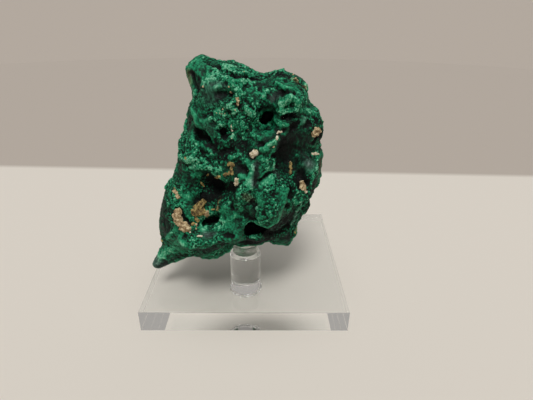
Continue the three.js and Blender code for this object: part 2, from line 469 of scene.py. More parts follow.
# Swellings and hollows that are too deep for the face's finer marks, and the outline's knobs.
FORMS = [
    Form((9.5, -33, 92), (12, -31.5, 98), 2.4, -3.0),  # channel that leads into the vug
    Form((-5, -34, 99.5), (-5, -34, 99.5), 2.6, -1.6),
    Form((-10.5, -32.5, 97), (-10.5, -32.5, 97), 3.6, -1.4),
    Form((-13, -33, 62), (-5, -38, 62.5), 3.6, -2.6),  # recess that holds the limonite
    Form((15, -34, 79), (20.5, -34, 69.5), 3.8, -2.4),  # recess on the right
    Form((-14, -35, 48.5), (-10, -35, 49.5), 2.0, -2.4),
    Form((0, -35, 45), (10, -35, 44), 2.0, -3.4),  # shelter under the lump
    Form((24.5, -33, 72), (24.5, -33, 72), 4.5, 1.2),
    Form((16.5, -29.5, 36), (16.5, -29.5, 36), 3.6, 0.8),
    Form((-8, -18.5, 108), (-8, -18.5, 108), 1.6, 0.7),
    Form((-4, -21.5, 107.5), (-0.5, -21.5, 106.5), 1.3, 0.3),
    Form((4.6, -18.5, 105), (8.6, -18.5, 104), 2.6, -2.8),  # notch in the top edge
    Form((-12, -20, 108.5), (0, -20, 106.5), 2.0, -0.9),
    Form((2, -20, 105.5), (10, -20, 104.5), 2.4, -0.6),
    Form((25.5, -25, 93.5), (25.5, -25, 98), 2.4, -1.5),
    Form((-24, -27, 98.5), (-24, -27, 98.5), 2.4, -0.6),
    Form((21.5, -27, 38), (21.5, -27, 39.5), 1.8, 1.9),
    Form((24, -27, 44.5), (24, -27, 45.5), 1.6, -0.8),
    Form((-38.5, -29, 42), (-37.5, -29, 37), 2.4, 2.1),
    Form((-42, -31, 20), (-38, -31, 19), 1.8, 1.7),
    Form((-14, -32, 27.5), (-6, -32, 31), 2.0, -0.8),
    Form((-23.5, -27, 87), (-24.5, -27, 83.5), 2.2, -1.8),
    Form((-31, -27, 64.5), (-31, -27, 64.5), 1.6, -0.8),
    Form((-1, -32, 33), (6, -32, 33), 2.4, 2.0),
    Form((29.5, -27, 61), (29.5, -27, 62.5), 1.8, 1.2),
    Form((-21, -26, 94.5), (-21, -26, 94.5), 1.4, 1.7),
    Form((-20, -26.5, 90), (-20, -26.5, 90), 1.4, 1.2),
    Form((-33.5, -28, 61), (-33.5, -28, 61), 2.0, 1.4),
    Form((-20, -33, 75), (-20, -33, 75), 3.0, 0.8),
    Form((25.5, -27, 49.5), (26, -27, 51.5), 1.8, 2.0),
    Form((27.5, -27, 56), (27.5, -27, 57), 1.6, -0.8),
]

# The blocky lump's flat front, as x, z corners.
LUMP = [
    (5.5, 64.5),
    (10.5, 67.2),
    (17.5, 65),
    (16.8, 60.5),
    (14.6, 53),
    (13.2, 51.2),
    (8.5, 48.2),
    (5.2, 50.2),
]


@dataclass(frozen=True)
class Mark:
    """A ridge, groove, pit or patch on the stone's face, drawn along x, z corners in millimetres.

    Tone lightens or darkens it: in pits, grooves and recesses its darkening is painted shade, on
    ridges its lightening is painted highlight, and on wider patches it is partly the stone's own
    tone and partly painted light and shade. Smooth evens its crust out, the grey-violet share paints
    a silky sheen into the colour as a painted sheen, and stain rusts it; each runs from 0 to 1, and
    tone from -1.
    """

    corners: list[tuple[float, float]]
    reach: float
    rise: float = 0.0
    tone: float = 0.0
    smooth: float = 0.0
    painted_sheen: float = 0.0
    stain: float = 0.0


# Wide areas first, then what lies in them, from the top of the face to its foot. Their tone is
# painted shade in the pits, grooves and recesses and painted highlight on the ridges; on the wide
# areas it is partly the stone's own tone and partly painted light and shade. Their grey-violet
# share is a painted sheen.
MARKS = [
    # Areas.
    Mark([(-17, 105)], 5.0, 0, -0.1, 0.7),
    Mark([(-12, 98)], 4.0, 0, -0.05, 0.6, 0.5),
    Mark([(0, 97), (2, 86)], 6.0, 0, 0.08, -0.3),
    Mark([(11.5, 97), (9.5, 92)], 2.6, 0, -0.1, 0.7),
    Mark([(-17, 91), (-14, 85)], 4.0, 0, 0.0, 0.6),
    Mark([(-12.5, 86)], 3.0, 0, 0.05, 0.7, 0.3),
    Mark([(-24, 68), (-21, 66)], 4.0, 0, -0.25, 0.6),
    Mark([(-34, 52), (-33, 43)], 5.0, 0, -0.35, 0.5),
    Mark([(-26, 42), (-38, 24)], 4.5, 0, 0.12, 0.5),
    Mark([(-3, 50), (0, 47)], 4.5, 0, -0.12, 0.2),
    Mark([(15, 84), (22, 80)], 6.0, 0, -0.45, 0.5),
    Mark([(15, 80), (17, 72)], 4.0, 0, -0.45, 0.5),
    Mark([(12, 46), (18, 48)], 5.0, 0, -0.55, 0.2, 0.4),
    Mark([(17, 37)], 3.6, 0, -0.1, 0.8),
    Mark([(-22, 35), (-12, 35)], 3.0, 0, -0.45, 0.2, 0.3),
    Mark([(-8, 41), (6, 38)], 3.0, 0, -0.5, 0.2),
    Mark([(28, 58), (27, 50)], 3.0, 0, -0.5),
    # Beak.
    Mark([(-19.2, 104.3), (-18, 101), (-17, 98.5)], 1.4, -1.6, -0.65, 0.5),
    Mark([(-15.8, 103), (-15.6, 99)], 1.1, -0.8, -0.45, 0.4),
    Mark([(-20.4, 105), (-19.6, 100.6)], 1.0, 0.3, 0.0, 0.3, 0.0, 0.5),
    Mark([(-16.5, 108.6), (-15.5, 107.5)], 1.6, 0.2, 0.3, 0.3),
    Mark([(-13, 108.3), (-10.5, 107), (-8.5, 106.8), (-6.3, 105.3), (-3.5, 104.6)], 1.1, -1.4, -0.6),
    Mark([(-6.5, 107.2), (-4.5, 106.2)], 1.2, 0.6, 0.5),
    Mark([(-12.5, 102.3), (-10, 104), (-6.5, 104.3), (-4, 103.3)], 1.2, 0.9, 0.45),
    Mark([(-11, 101.8), (-8, 102.3), (-6, 101.8)], 1.0, -0.7, -0.35, 0, 0.5),
    Mark([(-6, 102)], 1.0, -1.0, -0.5),
    Mark([(-8, 98.8), (-5, 99)], 1.9, -2.8, -0.9, 0.3),
    Mark([(-18.2, 97), (-16.8, 97.6), (-15.4, 98.3)], 0.8, 0.7, 0.45),
    Mark([(-19.8, 95.4)], 1.0, 0.8, 0.25),
    # Crown.
    Mark([(-2, 103.9)], 1.1, -1.2, -0.6),
    Mark([(-3, 102.3), (-2, 100.6)], 1.4, 0.6, 0.45),
    Mark([(-4, 95.6)], 1.6, 0.8, 0.15),
    Mark([(-3, 104.2), (0.5, 104), (3.5, 103.3), (6, 102.9), (8.8, 103)], 1.1, -0.9, -0.85),
    Mark([(4.6, 99.8), (5.6, 98.6), (7.4, 97.3), (8.4, 98.4), (9, 99.3)], 0.9, 1.0, 0.5),
    Mark([(7.4, 97.3), (7.3, 95.8)], 0.8, 0.8, 0.4),
    Mark([(1.3, 102.4)], 1.0, 0.5, 0.35),
    Mark([(0, 98.9)], 1.1, 0.6, 0.4),
    Mark([(2.8, 96.9)], 0.9, 0.6, 0.4),
    Mark([(7, 101.8)], 1.2, 0.4, 0.25),
    Mark([(7.4, 95.6), (6.8, 92.6)], 1.0, -0.8, -0.5),
    Mark([(12, 98.3)], 2.0, 1.6, -0.05, 1.0, 1.0),
    Mark([(13.8, 99.8), (14.2, 98.4)], 0.7, -0.8, -0.5),
    Mark([(13.4, 98.3), (13.7, 95.3)], 0.6, 0.6, 0.5),
    Mark([(12.3, 101.6), (15, 100.8), (17.2, 100.4)], 0.8, 0.8, 0.45),
    Mark([(13, 102.6), (16.3, 102.9)], 0.8, 0.5, 0.35),
    Mark([(12.4, 104.2), (15, 104)], 1.2, -0.4, -0.5),
    Mark([(13.5, 99.7), (18.5, 99)], 0.9, -0.7, -0.55),
    Mark(
        [(13.6, 93.2), (14.3, 95), (15.4, 96.4), (17.2, 98), (19, 97.2), (20, 95.8)],
        1.1,
        1.8,
        0.65,
        0.3,
    ),
    Mark([(15.9, 94), (18, 95.4)], 1.3, -1.2, -0.45),
    Mark([(15.6, 91), (18.3, 91.3)], 1.3, -2.6, -0.95),
    Mark([(20.3, 101.6), (22, 100.8)], 1.3, -1.0, -0.7),
    Mark([(19, 103.3), (21.5, 103.3), (23, 102.3), (23.4, 99.8)], 0.9, 0.9, 0.1, 0, 0, 0.7),
    Mark([(18.3, 93.2), (20.2, 94.1), (22.2, 93.1), (24.8, 91.6), (27.3, 91.8)], 0.9, 0.8, 0.35),
    Mark([(24.2, 94.6)], 1.3, -0.6, -0.5),
    # Upper middle, round the vug.
    Mark([(1.2, 94.2), (2.2, 92.6), (3.1, 91)], 1.1, 1.5, 0.6),
    Mark([(2.4, 92.2), (4.6, 92.2)], 0.9, 1.2, 0.6),
    Mark([(-4.8, 94.7), (-3.3, 93.9), (-1.8, 92.4)], 0.8, 1.0, 0.5),
    Mark([(-4.6, 93)], 0.9, -0.8, -0.6),
    Mark([(5.6, 89.2), (6, 87.3), (7.3, 86), (9, 85.9), (10.8, 87), (12.2, 88.6)], 0.9, 1.3, 0.5),
    Mark([(8.4, 88.3), (9.4, 90.5)], 2.0, -1.5, -1.4, 0.6),
    Mark([(-6.7, 85.2)], 1.6, -2.4, -0.9),
    Mark([(-9.3, 86.5), (-8.6, 87.4), (-7.3, 87.4)], 0.8, 0.6, 0.35),
    Mark([(-6.2, 83.5)], 1.0, -1.0, -0.7),
    Mark([(-11.5, 90), (-9.8, 89.6), (-8, 88.3), (-6.8, 87)], 0.8, 1.0, 0.45),
    Mark([(-3.2, 84), (-2.7, 82.8)], 0.7, 0.7, 0.4),
    Mark([(2.2, 88.3), (1.8, 87.3)], 0.7, 0.6, 0.4),
    Mark([(-1.6, 90), (-1.4, 88)], 0.7, 0.6, 0.35),
    Mark([(0.6, 84.6), (1, 83.4)], 0.7, 0.6, 0.3),
    Mark([(-3, 81), (1.5, 80.5)], 2.0, -0.6, -0.45, 0.4),
    Mark([(6.9, 82)], 1.1, -1.6, -0.95),
    Mark([(12.8, 84), (11.5, 82.8), (9.3, 81.3), (7.2, 80.6)], 1.1, 1.5, 0.6),
    Mark([(15.4, 88.3)], 1.8, 0.8, 0.2),
    Mark([(15.3, 86.5)], 0.8, -1.0, -0.8),
    # Left side's folds.
    Mark([(-18.6, 91.8), (-17.4, 89.4), (-16.8, 87.2), (-16.2, 85.4)], 1.0, 1.2, 0.2, 0.5),
    Mark([(-14.8, 88.8), (-12.2, 89)], 0.9, 0.5, 0.4),
    Mark([(-14.5, 90.4), (-12, 90.6)], 0.8, -0.5, -0.35),
    Mark([(-17.2, 84.6), (-16.4, 82.8), (-14.4, 81.8)], 1.4, -2.8, -1.0),
    Mark([(-15.2, 84.6), (-13.9, 83.2), (-13, 81.3)], 0.8, -1.5, -0.8),
    Mark([(-20.8, 85.5), (-19.9, 87.8)], 1.3, -0.3, -0.5),
    Mark([(-12.7, 79.8), (-10.6, 78.6), (-9.8, 80.5)], 1.3, -1.0, -0.7),
    Mark([(-18.3, 79.6), (-16.6, 77.8)], 1.0, 0.6, 0.4),
    Mark([(-12.2, 78.3), (-11.7, 76.6)], 0.9, 0.7, 0.45),
    Mark([(-15.2, 76.8)], 1.2, -0.8, -0.6),
    Mark([(-24.3, 74), (-21.8, 73.7), (-19.3, 74.6), (-16, 74.2)], 1.2, 0.9, 0.45),
    Mark([(-21.5, 72.3), (-19.5, 72.6)], 0.8, -0.7, -0.5),
    Mark([(-18.8, 71.7)], 1.3, 0.0, 0.3, 0.2, 0.3),
    Mark([(-14.3, 73.4), (-13, 72.5), (-12.4, 71.7)], 0.9, 0.8, 0.5),
    Mark([(-16.5, 71.6), (-14.5, 71.2), (-12, 71.2), (-9.2, 70.9), (-8, 71.5)], 1.0, 1.2, 0.45),
    # Recess of the limonite and what lies over it.
    Mark([(-3.8, 78.3), (-8.5, 77.3)], 1.2, -0.8, -0.55),
    Mark([(-4.3, 76.1), (-2.5, 76.7), (-0.9, 77.8)], 1.1, 0.9, 0.25, 0.3),
    Mark([(-1.5, 74), (0.8, 72.2)], 1.8, -1.4, -0.5, 0.3),
    Mark([(-15, 67.5), (-12, 63.5), (-7, 63.8), (-4.5, 65)], 2.5, -1.5, -0.85),
    Mark([(-16, 64), (-11, 61.5)], 2.2, -1.0, -0.7),
    Mark([(-22.3, 58.9)], 2.2, 0.6, 0.5, 0.8),
    Mark([(-24, 63.3)], 1.0, 0.3, 0.3),
    Mark([(-14, 57.5)], 1.5, 0.4, 0.15),
    Mark([(-16.6, 58.8)], 1.0, -0.8, -0.7),
    # Centre.
    Mark([(-0.6, 70.3), (1.5, 70.3), (3, 69.8)], 0.9, 0.3, 0.6, 0.4),
    Mark([(1.6, 68.6), (2.6, 67)], 1.5, 0.6, 0.75, 0.5),
    Mark([(0.9, 69.2), (-1.4, 67)], 0.5, -0.8, -0.6),
    Mark([(3.7, 74.2), (3.3, 71.5), (3.6, 68.5), (3.8, 66)], 0.8, 1.0, 0.5),
    Mark([(5.3, 75.2), (5.1, 72.5), (4.9, 70), (4.5, 67.8)], 1.2, -0.8, -0.35, 0.6, 1.0),
    Mark([(1.4, 75.6), (2.8, 74)], 1.2, 0.5, 0.3),
    Mark([(8.3, 75.7)], 1.5, 0.6, 0.3),
    Mark([(9.3, 73.2)], 1.3, 0.5, 0.3),
    Mark([(12.2, 76), (12, 74), (11.4, 72.2)], 0.9, 1.1, 0.55),
    Mark([(11.2, 71.3), (8.5, 70.3), (6.7, 68.6)], 0.8, -1.1, -0.55),
    Mark([(7.4, 67.2), (10.4, 68.8)], 1.4, 0.8, 0.65, 0.4),
    Mark([(12, 71.8), (12.8, 70), (13.7, 68.8)], 0.9, -0.6, -0.2, 0.4, 0.8),
    Mark([(13.4, 73)], 1.0, -1.4, -0.9),
    Mark([(12.9, 77.3)], 1.6, -1.8, -0.9),
    Mark([(-0.8, 64.2), (-1.3, 61.5), (-1.1, 58.5), (-0.3, 56)], 0.8, 1.3, 0.45),
    Mark([(1.6, 63), (2.8, 61.5)], 1.6, 0.0, -0.05, 0, 0.3, 0.35),
    # Right side.
    Mark([(18.5, 87.3)], 1.9, -1.2, -0.8),
    Mark([(24, 88)], 1.5, -0.8, -0.7),
    Mark([(27.6, 88.6)], 1.6, -0.8, -0.7),
    Mark([(29.8, 83.4), (28.3, 82.4), (26.8, 80.4)], 0.9, -1.1, -0.8),
    Mark([(22.6, 89.4)], 1.8, 1.0, 0.3, 0.5, 0.5),
    Mark([(20.5, 80.4)], 1.3, 0.5, 0.35),
    Mark([(19.8, 76.5)], 1.6, 0.4, 0.25),
    Mark([(23.5, 77.5)], 1.5, 0.3, 0.2),
    Mark([(25.2, 72.2)], 2.6, 0.4, 0.3, 0.9, 1.0),
    Mark([(22.6, 69.5), (22, 66.5)], 1.8, -0.7, -0.45, 0.5),
    Mark([(28.4, 73.2), (27.7, 70.3), (26.8, 66.8)], 0.8, 0.7, 0.4),
    Mark([(30.4, 71.5), (29.8, 68.5)], 1.2, 0.0, 0.0, 0, 0, 0.7),
    Mark([(21.6, 64.3), (22.5, 65.2), (24.5, 65.3)], 0.8, -1.2, -0.85),
    Mark([(18.5, 64), (18.4, 61)], 1.1, -2.0, -1.0),
    Mark([(17.2, 57.2)], 1.2, -1.4, -0.9),
    Mark([(26.4, 65), (26.8, 63)], 0.6, 0.6, 0.5),
    Mark([(20.6, 58.8), (20.9, 57)], 0.7, 0.7, 0.6),
    Mark([(22.8, 57.3), (22.6, 55), (21.4, 51.5), (20.8, 48), (19.6, 44)], 0.7, 1.1, 0.75, 0, 0.3),
    Mark([(24.4, 55.5), (23.2, 51), (22.2, 48)], 0.6, 0.8, 0.6, 0, 0.3),
    Mark([(15.7, 45.4)], 1.2, 0.5, 0.7),
    Mark([(10, 42), (14, 42.5), (18, 43.5)], 1.4, -1.4, -0.6),
    Mark([(17.8, 39.3), (18.6, 37)], 0.9, 0.0, -0.2, 0, 0.8),
    Mark([(21.5, 40.5)], 1.1, 0.4, 0.4, 0, 0, 0.9),
    # Blocky lump and the bulge beside it.
    Mark([(5.9, 50.8), (8, 50), (9.6, 51), (13, 52.6), (13.8, 55), (14.2, 59)], 1.0, 0.2, 0.5, 0.6),
    Mark([(15, 62.5)], 2.6, 0.0, 0.15, 0.8),
    Mark([(6.3, 61.5), (6, 58.5), (6, 55.5)], 0.8, 0.5, 0.35, 0, 0.3),
    Mark([(8, 63.7)], 1.1, -0.7, -0.7),
    Mark([(10.6, 62.4)], 0.8, -0.5, -0.6),
    Mark([(8.5, 57.6)], 1.0, -0.6, -0.6),
    Mark([(11, 57.9)], 0.9, -0.5, -0.5),
    Mark([(3.3, 56.6)], 2.4, 1.6, -0.3, 0.9),
    Mark([(1.8, 59.3), (3.3, 59.9), (5, 59)], 0.8, -0.8, -0.6),
    Mark([(1, 53.3), (3.5, 52.2), (5, 52.8)], 1.0, -0.5, -0.5),
    Mark([(1.2, 48.5), (4.5, 48.3), (8.3, 45)], 1.9, -2.4, -1.4),
    # Lower left, down to the spur.
    Mark([(-5.8, 59.5)], 1.0, 0.8, 0.65),
    Mark([(-4.9, 60.2), (-4.3, 56.8)], 0.9, -1.4, -0.9),
    Mark([(-7.8, 55.3)], 2.0, 0.6, 0.2, 0.7),
    Mark([(-4.3, 53.2), (-1.8, 53.8)], 1.2, 0.8, 0.55),
    Mark([(-8.9, 51.4)], 0.6, -0.8, -0.8),
    Mark([(-10.9, 46.6), (-9.8, 48.6), (-8.2, 51.9)], 0.8, 1.6, 0.65),
    Mark([(-9.2, 47.6), (-7.3, 50.3), (-5.6, 52.2)], 1.1, 0.9, 0.5),
    Mark([(-14.5, 48.6), (-11.8, 49)], 1.5, -3.0, -1.2),
    Mark([(-16, 46.7), (-13.5, 47.1), (-11.3, 47.2)], 0.8, 0.9, 0.55),
    Mark([(-16.5, 46.2)], 1.3, 0.4, 0.5),
    Mark([(-15, 45), (-12, 45)], 1.4, 0.2, 0.05, 0.7, 0.9),
    Mark([(-6.8, 46.3), (-4.2, 46.6)], 1.0, -1.3, -0.9),
    Mark([(-25.3, 54.3), (-23, 50.8), (-21.6, 48.8)], 0.8, -1.0, -0.9),
    Mark([(-9.9, 59.5), (-10.1, 55)], 0.7, 0.2, 0.2, 0, 0, 0.9),
    Mark([(-27.2, 46), (-30.2, 41.5), (-33, 37.5)], 1.1, 1.2, 0.4),
    Mark([(-23.8, 42)], 1.8, 1.2, 0.6, 0.4),
    Mark([(-23, 44.6)], 1.0, -0.9, -0.8),
    Mark([(-21, 40.5)], 1.1, 0.3, 0.25),
    Mark([(-33.5, 32), (-36.5, 28.5), (-39, 25)], 0.9, 0.8, 0.35),
    Mark([(-30.5, 34), (-34.5, 28.5), (-39.8, 22.8)], 0.9, 0.7, 0.35),
    Mark([(-33, 33.6)], 0.9, -0.6, -0.6),
    Mark([(-28, 29), (-36, 23.5)], 1.6, 0, -0.4),
    Mark([(-36.3, 38.3)], 1.3, 0.0, 0.0, 0, 0, 0.8),
]

# Clouds that paint the face lighter and darker, partly the stone's own tone and partly painted light
# and shade, in three layers laid over each other.
BROAD_CLOUDS = [
    Mark([(-12, 103), (-5, 107)], 2.5, 0, 0.35),
    Mark([(0, 103)], 2.5, 0, 0.3),
    Mark([(-4, 109), (3, 107)], 2.0, 0, 0.3),
    Mark([(-19, 96)], 2.0, 0, 0.25),
    Mark([(-5, 92)], 2.0, 0, 0.3),
    Mark([(-20, 103), (-16, 109)], 3.0, 0, 0.2),
    Mark([(9.5, 86), (14, 89)], 2.0, 0.5, 0.5),
    Mark([(15, 93.5)], 2.0, 0, 0.3),
    Mark([(27, 91)], 2.0, 0, 0.2),
    Mark([(12, 81)], 2.0, 0, 0.25),
    Mark([(26, 77), (29, 77)], 1.8, 0, 0.3),
    Mark([(18, 72)], 2.0, 0, 0.2),
    Mark([(11, 72)], 2.0, 0, 0.2),
    Mark([(-22, 77)], 2.5, 0, 0.25),
    Mark([(-19, 73)], 2.0, 0, 0.3),
    Mark([(-17, 66), (-19, 70)], 2.0, 0, 0.2),
    Mark([(-12, 66)], 1.8, 0, 0.2),
    Mark([(-4, 85)], 2.0, 0, 0.2),
    Mark([(5, 60), (5, 66)], 2.0, 0, 0.2),
    Mark([(0, 55), (3, 60)], 2.0, 0, 0.15),
    Mark([(-8, 48.5), (-6, 49.5)], 2.0, 0, 0.3),
    Mark([(-15.5, 51)], 1.8, 0, 0.25),
    Mark([(-18, 44)], 2.0, 0, 0.3),
    Mark([(-25, 59)], 1.8, 0, 0.15),
    Mark([(-37, 27)], 3.0, 0, 0.3),
    Mark([(-26, 49)], 1.6, 0, 0.2),
    Mark([(5, 74)], 1.6, 0, 0.2),
    Mark([(13, 103.5)], 2.5, 0, -0.3),
    Mark([(7, 99.5)], 2.0, 0, -0.2),
    Mark([(15, 98)], 2.0, 0, -0.2),
    Mark([(26, 86.5)], 2.0, 0, -0.4),
    Mark([(30, 82.5)], 2.0, 0, -0.4),
    Mark([(25, 74), (29, 72)], 2.0, 0, -0.3),
    Mark([(21, 65)], 2.5, 0, -0.4),
    Mark([(28, 65), (27, 60)], 2.0, 0, -0.5),
    Mark([(-8, 81)], 2.0, 0, -0.25),
    Mark([(-7, 76)], 2.0, 0, -0.25),
    Mark([(-2, 71.5)], 1.8, 0, -0.3),
    Mark([(3.5, 78.5)], 1.8, 0, -0.35),
    Mark([(8, 80)], 1.5, 0, -0.25),
    Mark([(-2, 62), (-2, 64)], 1.5, 0, -0.25),
    Mark([(5, 50), (5, 55)], 1.8, 0, -0.2),
    Mark([(12, 49), (15, 54)], 1.6, 0, -0.25),
    Mark([(-5, 40), (5, 38)], 4.0, 0, -0.4),
    Mark([(12, 40), (18, 39)], 3.0, 0, -0.3),
    Mark([(-20, 38), (-12, 36)], 2.5, 0, -0.15),
    Mark([(-20, 91)], 1.8, 0, -0.2),
    Mark([(10, 63)], 2.0, 0, -0.15),
]
STRONG_CLOUDS = [
    Mark([(-14, 102), (-8, 105)], 1.8, 0, 0.35),
    Mark([(-19, 98)], 1.8, 0, 0.35),
    Mark([(0, 102)], 1.6, 0, 0.3),
    Mark([(-4, 99)], 1.5, 0, 0.3),
    Mark([(-8, 92)], 1.8, 0, 0.3),
    Mark([(2.5, 91)], 1.5, 0, 0.25),
    Mark([(10.5, 86.5)], 1.6, 0, 0.35),
    Mark([(16, 94.5)], 2.0, 0, 0.3),
    Mark([(15.5, 85.5)], 1.8, 0, 0.25),
    Mark([(12, 82)], 1.8, 0, 0.15),
    Mark([(5, 76)], 1.6, 0, 0.25),
    Mark([(11, 72.5)], 1.6, 0, 0.3),
    Mark([(-19, 73)], 1.6, 0, 0.15),
    Mark([(-16, 67)], 2.0, 0, 0.15),
    Mark([(-10, 67)], 1.8, 0, 0.25),
    Mark([(-25, 57)], 2.0, 0, 0.2),
    Mark([(-15, 51)], 1.6, 0, 0.3),
    Mark([(-7, 49), (-5, 50)], 1.6, 0, 0.25),
    Mark([(-36, 27), (-31, 33)], 2.0, 0, 0.3),
    Mark([(-29, 39)], 2.0, 0, 0.15),
    Mark([(-24, 82)], 2.2, 0, 0.25),
    Mark([(29, 74.5)], 1.6, 0, 0.3),
    Mark([(20.5, 103.5)], 1.0, 0, 0.35),
    Mark([(14, 104)], 1.8, 0, -0.15),
    Mark([(21, 100)], 1.8, 0, -0.15),
    Mark([(28, 88)], 1.8, 0, -0.3),
    Mark([(-8, 82)], 1.8, 0, -0.15),
    Mark([(-8, 75.5)], 1.6, 0, -0.15),
    Mark([(3.5, 78)], 1.4, 0, -0.25),
    Mark([(-2, 70.5)], 1.6, 0, -0.2),
    Mark([(24, 65.5)], 1.8, 0, -0.45),
    Mark([(-13, 72)], 1.3, 0, -0.2),
    Mark([(-12, 60), (-18, 56)], 2.2, 0, -0.3),
    Mark([(-28, 52)], 1.6, 0, -0.3),
    Mark([(10, 60)], 2.0, 0, -0.15),
    Mark([(-1, 63)], 1.4, 0, -0.15),
    Mark([(-2, 40), (6, 38)], 2.6, 0, -0.35),
    Mark([(-12, 38)], 2.0, 0, -0.2),
]
CLOSING_CLOUDS = [
    Mark([(-12, 103), (-7, 101)], 2.4, 0, 0.6),
    Mark([(9.5, 85.5), (11.5, 87)], 1.8, 0, 0.8),
    Mark([(-16, 68), (-16, 64)], 2.2, 0, 0.5),
    Mark([(-10.5, 67.5), (-9, 65.5)], 2.4, 0, 0.8),
    Mark([(-17, 52), (-13.5, 50.5)], 2.2, 0, 0.8),
    Mark([(24, 66)], 2.6, 0, -0.8),
    Mark([(-10, 60), (-14, 58)], 2.4, 0, -0.5),
    Mark([(-27, 52)], 2.0, 0, -0.5),
    Mark([(3.5, 77.5)], 1.6, 0, -0.5),
    Mark([(-6, 39), (8, 38)], 3.4, 0, -0.95),
    Mark([(29.5, 88), (30.5, 82)], 2.4, 0, -0.5),
    Mark([(16, 94.5), (18, 96)], 1.8, 0, 0.6),
    Mark([(-20, 74)], 2.4, 0, 0.4),
    Mark([(-19, 99)], 2.4, 0, 0.5),
    Mark([(12, 71)], 2.0, 0, 0.4),
    Mark([(14, 104), (18, 103)], 2.0, 0, -0.4),
    Mark([(7, 101)], 2.4, 0, -0.3),
    Mark([(-4, 99)], 1.6, 0, 0.4),
    Mark([(0, 103), (3, 102)], 1.8, 0, 0.4),
    Mark([(-39, 21), (-36, 22)], 1.6, 0, -0.5),
]

# How much stronger the strong clouds are than their written tones.
CLOUD_STRENGTH = 1.9

CLOUDS = [
    *BROAD_CLOUDS,
    *(replace(mark, tone=CLOUD_STRENGTH * mark.tone) for mark in STRONG_CLOUDS),
    *CLOSING_CLOUDS,
]

# Fans of fibres: x, z of the fan's middle, its reach, and the way that the fibres run in x and z.
FANS = [
    (-18, 104, 5.0, (0.4, -0.9)),
    (-12, 98, 5.0, (0.5, -0.85)),
    (-17, 88, 5.0, (0.3, -0.95)),
    (-13, 80, 5.0, (0.35, -0.93)),
    (-21, 74, 5.0, (0.95, -0.2)),
    (12, 96, 4.0, (0.3, -0.95)),
    (16, 102, 4.0, (0.95, -0.2)),
    (17, 78, 7.0, (-0.4, 0.9)),
    (26, 71, 5.0, (0.15, 1.0)),
    (3, 69, 4.0, (0.2, 0.95)),
    (9, 68, 3.5, (0.8, 0.55)),
    (-12, 46, 6.0, (0.95, 0.25)),
    (-26, 41, 6.0, (0.75, 0.6)),
    (-35, 29, 7.0, (0.7, 0.7)),
    (3, 56, 4.0, (0.1, 1.0)),
    (16, 37, 5.0, (0.9, -0.3)),
    (22, 50, 5.0, (0.35, 0.93)),
    (-33, 48, 6.0, (0.2, 1.0)),
]


@dataclass
class SeatedMark:
    """A mark with its path set on the stone's surface."""

    mark: Mark
    path: list[np.ndarray]
    normal: np.ndarray
    depth_kept: float = 0.35
    margin: float = 3.0

    def share(self, points: np.ndarray) -> np.ndarray:
        """How much of the mark each point takes, which falls off slowly into the stone.

        Args:
            points: One row of x, y, z for each point.

        Returns:
            A share from 0 to 1 for each point.
        """
        centre = sum(self.path) / len(self.path)
        longest = max(np.linalg.norm(corner - centre) for corner in self.path)
        span = longest + 3 * self.mark.reach + self.margin
        near = np.flatnonzero(((points - centre) ** 2).sum(axis=1) < span**2)
        flat = self._flatten(points[near])
        ends = [self._flatten(corner[None])[0] for corner in self.path]
        away = np.full(len(near), np.inf)
        for start, end in zip(ends, ends[1:] or ends):
            away = np.minimum(away, distance_to_stretch(flat, tuple(start), tuple(end)))
        share = np.zeros(len(points))
        share[near] = np.exp(-((away / self.mark.reach) ** 3))
        return share

    def _flatten(self, points: np.ndarray) -> np.ndarray:
        """Shortens what runs along the normal, so that a pit's floor stays in the mark."""
        return points - (1 - self.depth_kept) * (points @ self.normal)[:, None] * self.normal


@dataclass(frozen=True)
class Shading:
    """How light the stone is, 0 to 1: a base, and what its relief and its marks add to it.

    Crests and hollows are told apart in three widths: the relief makes hollows darker, as painted
    shade, and crests paler, as painted highlight. Above crest, only a part is kept, so that the
    painted highlights on the palest fibres don't turn white.
    """

    base: float = 0.515
    fine: float = 0.85
    middle: float = 0.35
    broad: float = 0.12
    marks: float = 0.56
    crest: float = 0.8
    crest_kept: float = 0.6


